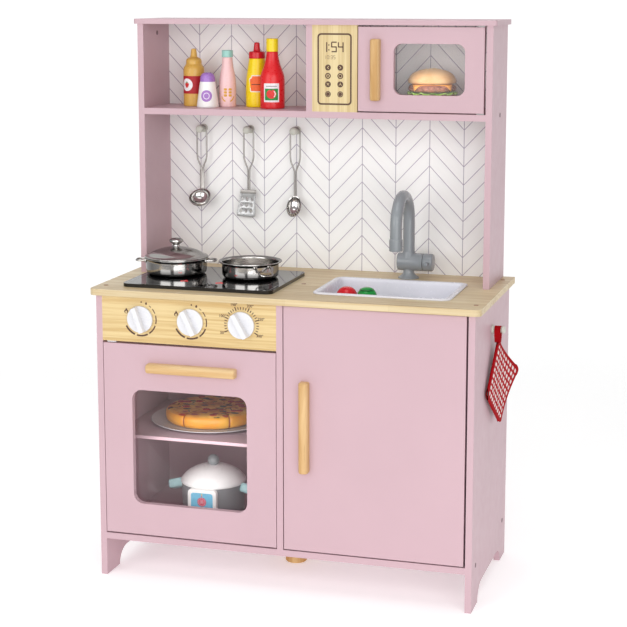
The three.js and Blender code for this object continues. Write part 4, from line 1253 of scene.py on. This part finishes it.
# ---- Play food ---------------------------------------------------------------------------------
def thicken(piece, millimetres):
    """Gives an open sheet its thickness."""
    solid = piece.modifiers.new("thickness", "SOLIDIFY")
    solid.thickness = millimetres * MM
    solid.offset = -1


def burger():
    """Two buns with a patty, a cheese slice and a leaf between them, and seeds on top."""
    centre = foot("burger")
    body_and_slot = ("burger", (), "burger_plastic")
    bun = mottled("bun_brown", srgb(236, 194, 140), srgb(222, 168, 108), (55, 4), (0.35, 0.75), 0.5, True,
                  (500, 3), (0.15, 0.0004))
    lathed("burger_lower_bun", centre, [(0, 0), (30, 0), (36.5, 6), (37, 22), (33, 27.5), (0, 28)],
           [0, 5, 6, 6, 3, 0], 6, 64, bun, "burger", ["burger"], "burger_plastic")
    lathed("burger_upper_bun", centre,
           [(0, 43.5), (32, 43.5), (37.6, 45), (38.2, 50), (32, 59.5), (18, 65.6), (0, 67)],
           [0, 1, 2, 8, 10, 8, 0], 7, 72, bun, *body_and_slot)

    profile = rounded([(0, 31), (33, 31), (37.4, 33), (37.6, 39), (34, 42), (0, 42)], [0, 2, 3, 3, 2, 0], 5)
    verts, faces = lathe(profile, 72)
    rough = []
    for v in verts:
        bulge = 1
        if v.xy.length:
            bulge += 0.012 * math.sin(7 * math.atan2(v.y, v.x)) + rng.uniform(-0.008, 0.008)
        rough.append(Vector((v.x * bulge, v.y * bulge, v.z)))
    meat = mottled("patty_meat", srgb(120, 62, 48), srgb(196, 128, 100), (260, 4), roughness=0.55,
                   bump=(0.6, 0.0012))
    Piece("burger_patty").add(shifted((rough, faces), *centre)).build(meat, *body_and_slot, 60)

    orange = moulded("cheese_orange", srgb(248, 170, 74), 0.35)
    thicken(Piece("burger_cheese").add(shifted(cheese(), *centre)).build(orange, *body_and_slot, 60), 1.6)
    green = mottled("lettuce_green", srgb(132, 200, 50), srgb(210, 244, 120), (130, 4), (0.3, 0.7), 0.4,
                    bump=(0.3, 0.0008))
    thicken(Piece("burger_lettuce").add(shifted(lettuce(), *centre)).build(green, *body_and_slot, 60), 1.0)

    seeds = Piece("burger_seeds")
    seed = lathe([(0, -1.5), (0.7, -0.9), (1.0, 0.1), (0.6, 1.2), (0, 1.6)], 8)
    for _ in range(70):
        a = rng.uniform(0, 2 * math.pi)
        r = 26 * math.sqrt(rng.random())
        tilt = Matrix.Rotation(rng.uniform(0, 6.3), 4, "Z") @ Matrix.Rotation(math.radians(90), 4, "X")
        seeds.add(shifted(moved(seed, tilt), centre.x + r * math.cos(a), centre.y + r * math.sin(a),
                          centre.z + (66.8 - 8.6 * (r / 30.0) ** 2.4)))
    seeds.build(moulded("sesame", srgb(250, 228, 184), 0.45), *body_and_slot, 60)


def cheese():
    """A square slice, turned a little, whose corners hang over the patty."""
    side, count = 62.0, 20
    turn = Matrix.Rotation(math.radians(14), 4, "Z")
    verts = []
    for j in range(count + 1):
        for i in range(count + 1):
            p = Vector(((i / count - 0.5) * side, (j / count - 0.5) * side, 0))
            over = max(0.0, p.length - 36.5)
            p = p * (1 - 0.42 * over / max(p.length, 1))
            p.z = 43.0 - 1.25 * over
            verts.append(turn @ p)
    return verts, grid_faces(count, count)


def lettuce():
    """A flat ring whose ruffles grow towards its edge."""
    steps, rows = 180, 6
    verts = []
    for j in range(rows + 1):
        t = j / rows
        for i in range(steps):
            a = 2 * math.pi * i / steps
            wave = math.sin(13 * a) * 1.7 + math.sin(31 * a + 1.0) * 0.7
            r = min(22 + 18.2 * t + t * t * (math.sin(5 * a) * 0.6 - 0.6), 40.6)
            verts.append(Vector((r * math.cos(a), r * math.sin(a), 29.6 + wave * t * t - 0.6 * t * t)))
    return verts, grid_faces(steps, rows, wrap=True)


def from_cut(degrees):
    """Degrees to the nearest of the pizza's six cuts."""
    return abs((degrees + 108 + 30) % 60 - 30)


def pizza():
    """A round with six pressed cuts, a painted top and raised toppings."""
    centre = foot("pizza")
    profile = rounded([(0, 0), (66, 0), (75, 3.5), (77, 12), (75.4, 19.5), (69, 23.4), (62, 23.6), (0, 23.2)],
                      [0, 4, 5, 6, 4, 3, 3, 0], 6)
    verts, faces = lathe(profile, 360)
    shaped = []
    for v in verts:
        if v.xy.length > 40:
            near = from_cut(math.degrees(math.atan2(v.y, v.x)))
            dent = 1 - 0.02 * math.exp(-(near / 1.6) ** 2)
            v = Vector((v.x * dent, v.y * dent, v.z))
        shaped.append(v)
    side, top, seam = 0, 1, 2
    marks = []
    for face in faces:
        mid = sum((shaped[i] for i in face), Vector()) / len(face)
        if from_cut(math.degrees(math.atan2(mid.y, mid.x))) < 0.9:
            marks.append(seam)
        else:
            marks.append(top if mid.z > 20.5 else side)
    crust = mottled("pizza_crust", srgb(252, 190, 66), srgb(240, 158, 44), (26, 3), (0.35, 0.7), 0.3, True,
                    (300, 2), (0.08, 0.0004))
    paints = [crust, pizza_top("pizza_topping"), print_ink("pizza_seam", srgb(168, 84, 26))]
    piece = Piece("pizza_round").add(shifted((shaped, faces), *centre), marks)
    piece.build(paints, "pizza", ["pizza"], "pizza_plastic", 60)

    toppings = Piece("pizza_toppings")
    slice_shape = lathe(rounded([(0, 0), (6.2, 0), (6.0, 0.9), (0, 1.1)], [0, 0.2, 0.6, 0], 3), 24)
    for k in range(46):
        a = rng.uniform(0, 2 * math.pi)
        r = 66 * math.sqrt(rng.random())
        if from_cut(math.degrees(a)) < 5:
            continue
        kind = k % 3
        shape = block((rng.uniform(6, 11), 2.2, 1.6), 0.6, 2) if kind else slice_shape
        spin = Matrix.Rotation(rng.uniform(0, 6.3), 4, "Z")
        toppings.add(shifted(moved(shape, spin), centre.x + r * math.cos(a), centre.y + r * math.sin(a),
                             centre.z + 23.2), kind)
    colors = [moulded("topping_red", srgb(190, 44, 34), 0.4), moulded("topping_green", srgb(60, 74, 34), 0.4),
              moulded("topping_brown", srgb(126, 66, 36), 0.45)]
    toppings.build(colors, "pizza", (), "pizza_plastic", 40)
    lathed("plate_dish", foot("pizza_plate"),
           [(0, 0), (78, 0), (99, 5.0), (101, 6.3), (100, 7.0), (79, 1.8), (0, 1.4)],
           [0, 6, 2, 0.6, 0.6, 6, 0], 6, 120, moulded("plate_grey", srgb(218, 218, 222), 0.22),
           "pizza_plate", ["pizza_plate"], "plate_plastic")


def cooker():
    """A toy pressure cooker: a grey pot, a white lid with a ball, two grips and a panel in front."""
    low, high = node_box("toy_cooker")
    x, z = (low.x + high.x) / 2, low.z
    radius = 52.0
    y = high.y - radius - 1.5
    body_and_slot = ("toy_cooker", (), "cooker_plastic")
    lathed("cooker_body", (x, y, z), [(0, 0), (45, 0), (50, 3), (52, 61), (0, 61)], [0, 3, 4, 0.8, 0], 5, 96,
           moulded("cooker_grey", srgb(132, 133, 136), 0.35), "toy_cooker", ["toy_cooker"],
           "cooker_plastic", 45)
    lathed("cooker_lid", (x, y, z),
           [(0, 60.6), (52, 60.6), (53.4, 61.6), (53, 65.6), (44, 76), (26, 85.6), (8, 88.4), (0, 88.6)],
           [0, 0.4, 0.8, 3, 8, 10, 4, 0], 7, 96, moulded("cooker_lid_white", srgb(246, 246, 244), 0.3),
           *body_and_slot, 45)
    curve = [direction(t - 90) * 9.6 + Vector((0, 95.2)) for t in range(30, 180, 10)]
    ball = Piece("cooker_ball").add(shifted(lathe([(0, 86.4)] + curve + [(0, 104.8)], 40), x, y, z))
    ball.build(moulded("cooker_ball_grey", srgb(136, 140, 142), 0.3), *body_and_slot, 60)
    grips = Piece("cooker_grips")
    for side in (-1, 1):
        slant = Matrix.Rotation(math.radians(14 * side), 4, "Y") @ Matrix.Rotation(math.radians(-20), 4, "X")
        grip = moved(block((27, 28, 15), 4.2, 4), slant)
        grips.add(shifted(grip, x + side * (radius + 9.0), y, z + 51.0))
    grips.build(moulded("cooker_mint", srgb(176, 218, 220), 0.4), *body_and_slot, 40)
    panel = upright(slab(rounded_rect(-24.5, 24.5, 7, 60.5, 6, 6), 0, 10, 1.6))
    white = moulded("cooker_panel_white", srgb(244, 242, 240), 0.35)
    Piece("cooker_panel").add(shifted(panel, x, low.y + 10, z)).build(white, *body_and_slot, 40)
    cooker_marks(x, low.y - PRINT_LIFT, z)


def cooker_marks(x, y, z):
    """A blue inset with a red dial, a crossed ring on the dial and a yellow dot."""
    paint = {"inset": ("cooker_blue", (116, 194, 226)), "dial": ("cooker_dial_red", (214, 66, 96)),
             "dial_ring": ("cooker_dial_pale", (240, 190, 200)), "dot": ("cooker_dot_yellow", (244, 214, 60))}
    lifts = {"inset": 0, "dial": 0.08, "dial_ring": 0.16, "dot": 0.08}
    marks = {key: Marks("cooker_" + key, y - lift) for key, lift in lifts.items()}
    marks["inset"].outline(rounded_rect(-18.5, 18.5, 12.5, 55.5, 4, 5), x, z)
    marks["dial"].disc(7.5, x, z + 41.0)
    marks["dial"].disc(1.1, x, z + 50.6)
    marks["dial_ring"].ring(5.8, 0.7, 0, 359, x, z + 41.0, 24)
    for angle in (0, 60, 120):
        spoke = direction(angle) * 3.9
        marks["dial_ring"].line(-spoke, spoke, 0.9, x, z + 41.0)
    marks["dot"].disc(1.2, x, z + 53.0)
    for key, (name, color) in paint.items():
        marks[key].build(print_ink(name, srgb(*color)), "toy_cooker", "cooker_plastic")


def vegetable(node, color, lobe_count, swell, pinch, slot):
    """A lobed fruit. Returns its middle, radius and height for what sits on it."""
    low, high = node_box(node)
    centre = foot(node)
    r = (high.x - low.x) * 0.56
    h = (high.z - low.z) * 1.12
    profile = rounded([(0, 0), (r * 0.6, 0.3), (r * 0.95, h * 0.22), (r, h * 0.5), (r * 0.88, h * 0.78),
                       (r * 0.5, h * 0.97), (0, h)], [0, 3, 6, 6, 6, 5, 0], 6)
    verts, faces = lathe(profile, 60)
    lobes = []
    for v in verts:
        k = 1 + (swell * math.cos(lobe_count * math.atan2(v.y, v.x)) - pinch)
        lobes.append(Vector((v.x * k, v.y * k, v.z)))
    skin = Piece(node + "_skin").add(shifted((lobes, faces), *centre))
    skin.build(moulded(node + "_plastic", srgb(*color), 0.25), node, [node], slot, 60)
    return centre, r, h


def vegetables():
    """A tomato and a pepper, which has a dark ring round its stalk end."""
    vegetable("play_tomato", (214, 22, 36), 5, 0.015, 0.015, "tomato_red")
    centre, r, h = vegetable("play_pepper", (24, 150, 62), 4, 0.035, 0.03, "pepper_green")
    loop = [(centre.x + px, centre.y - 1.5 + py, centre.z + h * 0.9)
            for px, py in oval(0, 0, 0.62 * r, 0.62 * r, 32)]
    ring = Piece("pepper_ring").add(tube(loop, 0.9, 8, closed=True))
    ring.build(moulded("pepper_dark", srgb(10, 96, 40), 0.3), "play_pepper", (), "pepper_green", 60)


# ---- Pot holder --------------------------------------------------------------------------------
PAD_SIDE = 100.5
PAD_THICK = 2.4
PAD_BEND = 200.0  # radius to which the front half curls round the panel's edge
PAD_LEAN = math.radians(6)
BINDING_EDGE = 0.15  # width of the bound edge, as a part of half the side


def pad_outline(u, v):
    """Rounds the corners of the square that runs from -1 to 1 a little."""
    limit = 0.74
    for a, b in ((1, 1), (1, -1), (-1, 1), (-1, -1)):
        if a * u > limit and b * v > limit:
            d = Vector((a * u - limit, b * v - limit))
            reach = max(d.x, d.y)
            if d.length > reach > 0:
                d *= reach / d.length
            return a * (limit + d.x), b * (limit + d.y)
    return u, v


def pad_height(u, v):
    """Half the pad's thickness: puffed squares between sewn lines, and a rounded bound edge."""
    edge = min(1 - abs(u), 1 - abs(v))
    if edge <= 1e-6:
        return 0
    if edge < BINDING_EDGE:
        return PAD_THICK * (0.35 + 0.55 * math.sin(math.pi * min(1, edge / BINDING_EDGE * 0.8 + 0.1)))
    quilt = abs(math.sin(u * math.pi * 2.5)) ** 0.5 * abs(math.sin(v * math.pi * 2.5)) ** 0.5
    return PAD_THICK * (0.72 * min(1, edge / 0.12) ** 0.5 + 0.42 * quilt)


def pot_holder():
    """A quilted square pad with a bound edge, hung by one corner from a ribbon loop."""
    hook = middle("side_hook")
    diagonal = PAD_SIDE / math.sqrt(2)
    centre_y, centre_z = hook.y + 8.3, hook.z - 84.0
    x0 = node_box("right_side_panel")[1].x + 10.5

    def surface(u, v, out):
        """Row-frame point of pad coordinates u, v (from -1 to 1) at a distance out of the middle."""
        across, up = (u - v) * diagonal / 2, (u + v) * diagonal / 2
        s = across * math.cos(PAD_LEAN) - up * math.sin(PAD_LEAN)
        t = across * math.sin(PAD_LEAN) + up * math.cos(PAD_LEAN)
        curl = s / PAD_BEND if s > 0 else 0
        along_y = PAD_BEND * math.sin(curl) if s > 0 else s
        along_x = 0.1 * s + PAD_BEND * (1 - math.cos(curl))
        along_x += 0.9 * math.sin(t / 16 + 0.8) * (0.3 + 0.7 * max(0, s) / diagonal)
        nx, ny = math.cos(curl), -math.sin(curl)
        return Vector((x0 + along_x + out * nx, centre_y + along_y + out * ny, centre_z + t))

    n = 56
    cells = [i / n * 2 - 1 for i in range(n + 1)]
    grid = [pad_outline(u, v) for v in cells for u in cells]
    verts, faces, flat = [], [], []
    for face_side in (1, -1):
        quads = grid_faces(n, n, base=len(verts))
        faces += quads if face_side == 1 else [quad[::-1] for quad in quads]
        verts += [surface(u, v, face_side * pad_height(u, v)) for u, v in grid]
        flat += [(u * PAD_SIDE / 2 * MM, v * PAD_SIDE / 2 * MM) for u, v in grid]
    inner = [1 - abs((i + 0.5) / n * 2 - 1) for i in range(n)]
    bound = [int(min(u, v) < BINDING_EDGE) for v in inner for u in inner]
    binding = woven("binding_red", srgb(166, 2, 16))
    cloths = [gingham("gingham_check"), binding]
    pad = Piece("pot_holder_pad").add((verts, faces), bound * 2)
    pad = pad.build(cloths, "pot_holder", ["pot_holder"], "gingham_cloth", 180, 1, flat)
    ribbon(hook, x0 - 1.2, centre_z + diagonal, binding)


def ribbon(hook, x, pad_top, material):
    """A flat ribbon from the pad's corner over the side hook and back."""
    half, width, thick = 6.95, 9.4, 1.4
    centre = hook.z - 1.7
    path = [(-1.2, pad_top - 7), (-4.8, pad_top - 1), (-half, centre - 6)]
    path += arc((0, centre), half, 180, 0, 12)
    path += [(half, centre - 6), (5.4, pad_top - 1), (1.8, pad_top - 7)]
    section = [(a * width / 2, b * thick / 2) for a, b in ((-1, -1), (1, -1), (1, 1), (-1, 1))]
    loops = []
    for k, (py, pz) in enumerate(path):
        before, after = Vector(path[max(k - 1, 0)]), Vector(path[min(k + 1, len(path) - 1)])
        tangent = (after - before).normalized()
        loops.append([(x + across, hook.y + py - tangent.y * out, pz + tangent.x * out)
                      for across, out in section])
    Piece("pot_holder_ribbon").add(loft(loops)).build(material, "pot_holder", (), "gingham_cloth", 40)


# ---- Stage -------------------------------------------------------------------------------------
def floor():
    """A white floor that fades out a little way from the kitchen."""
    mesh = bpy.data.meshes.new("floor")
    mesh.from_pydata([(-30, -30, 0), (30, -30, 0), (30, 30, 0), (-30, 30, 0)], [], [(0, 1, 2, 3)])
    plane = bpy.data.objects.new("floor", mesh)
    white = Finish("floor_white", (0.95, 0.95, 0.95), 0.9, Specular_IOR_Level=0.0,
                   Emission_Color=(1, 1, 1, 1), Emission_Strength=0.3)
    away = white.add("ShaderNodeVectorMath", {0: white.place()}, out=1, operation="LENGTH")
    white.feed("Alpha", white.span(away, 0.9, 2.4, 1.0, 0.0, smooth=True))
    mesh.materials.append(white.material)
    bpy.context.scene.collection.objects.link(plane)


def studio():
    """A white world that lights from the back least, and that the camera sees evenly white."""
    world = bpy.data.worlds.new("studio")
    world.use_nodes = True
    tree = world.node_tree
    toward = tree.nodes.new("ShaderNodeTexCoord")
    parts = tree.nodes.new("ShaderNodeSeparateXYZ")
    glow = tree.nodes.new("ShaderNodeMapRange")
    glow.interpolation_type = "SMOOTHSTEP"
    for socket, value in (("From Min", -0.15), ("From Max", 0.7), ("To Min", 0.3), ("To Max", 1.05)):
        glow.inputs[socket].default_value = value
    seen = tree.nodes.new("ShaderNodeLightPath")
    strength = tree.nodes.new("ShaderNodeMix")
    strength.inputs["B"].default_value = 1.05
    background = tree.nodes["Background"]
    background.inputs["Color"].default_value = (1, 1, 1, 1)
    for source, target in ((toward.outputs["Generated"], parts.inputs[0]),
                           (parts.outputs[1], glow.inputs["Value"]),
                           (seen.outputs["Is Camera Ray"], strength.inputs["Factor"]),
                           (glow.outputs[0], strength.inputs["A"]),
                           (strength.outputs["Result"], background.inputs["Strength"])):
        tree.links.new(source, target)
    bpy.context.scene.world = world
    bpy.context.scene.view_settings.view_transform = "Standard"


def lamp(name, place, size, power, aim):
    """A square lamp of a size in metres and a power in watts, turned to face a point."""
    data = bpy.data.lights.new(name, "AREA")
    data.size = size
    data.energy = power
    holder = bpy.data.objects.new(name, data)
    holder.location = place
    holder.rotation_euler = (Vector(aim) - Vector(place)).to_track_quat("-Z", "Y").to_euler()
    bpy.context.scene.collection.objects.link(holder)


def lamps():
    """Soft lamps in front and above, and a faint one just inside each window."""
    oven, microwave = middle("oven_window") * MM, middle("microwave_window") * MM
    inwards = Vector((0, 0.3, 0))
    lamp("key", (-1.2, -2.5, 1.3), 2.0, 29, (0, 0, 0.85))
    lamp("front", (1.3, -2.5, 1.0), 2.2, 40, (0, 0, 0.85))
    lamp("oven_fill", oven + Vector((0.01, 0.004, 0.01)), 0.17, 0.11, oven + inwards)
    lamp("microwave_fill", microwave + Vector((0, 0.003, 0)), 0.075, 0.011, microwave + inwards)
    lamp("top", (0.1, -0.9, 2.9), 1.6, 16, (0, 0, 0.45))


# ---- The kitchen -------------------------------------------------------------------------------
camera()
floor()
studio()
lamps()
boards()
handle("oven_handle", "oven_door", ALONG_X, HANDLE)
handle("cabinet_handle", "cabinet_door", ALONG_Z, HANDLE_UPRIGHT)
handle("microwave_handle", "microwave_door", ALONG_Z, HANDLE_UPRIGHT)
for knob_node, lean in (("left_knob", 20), ("middle_knob", 26), ("right_knob", 30)):
    knob(knob_node, lean)
dial_marks()
display_marks()
hob_marks()
screw_caps()
fittings()
sink()
faucet()
hooks()
ladle()
turner()
pasta_server()
pot("left_pot", 13.5, 0, 49.5, 52)
pot("right_pot", -46.5, 11, 45.5, 51)
lid()
honey()
pepper_shaker()
milk()
mustard()
ketchup()
burger()
pizza()
cooker()
vegetables()
pot_holder()
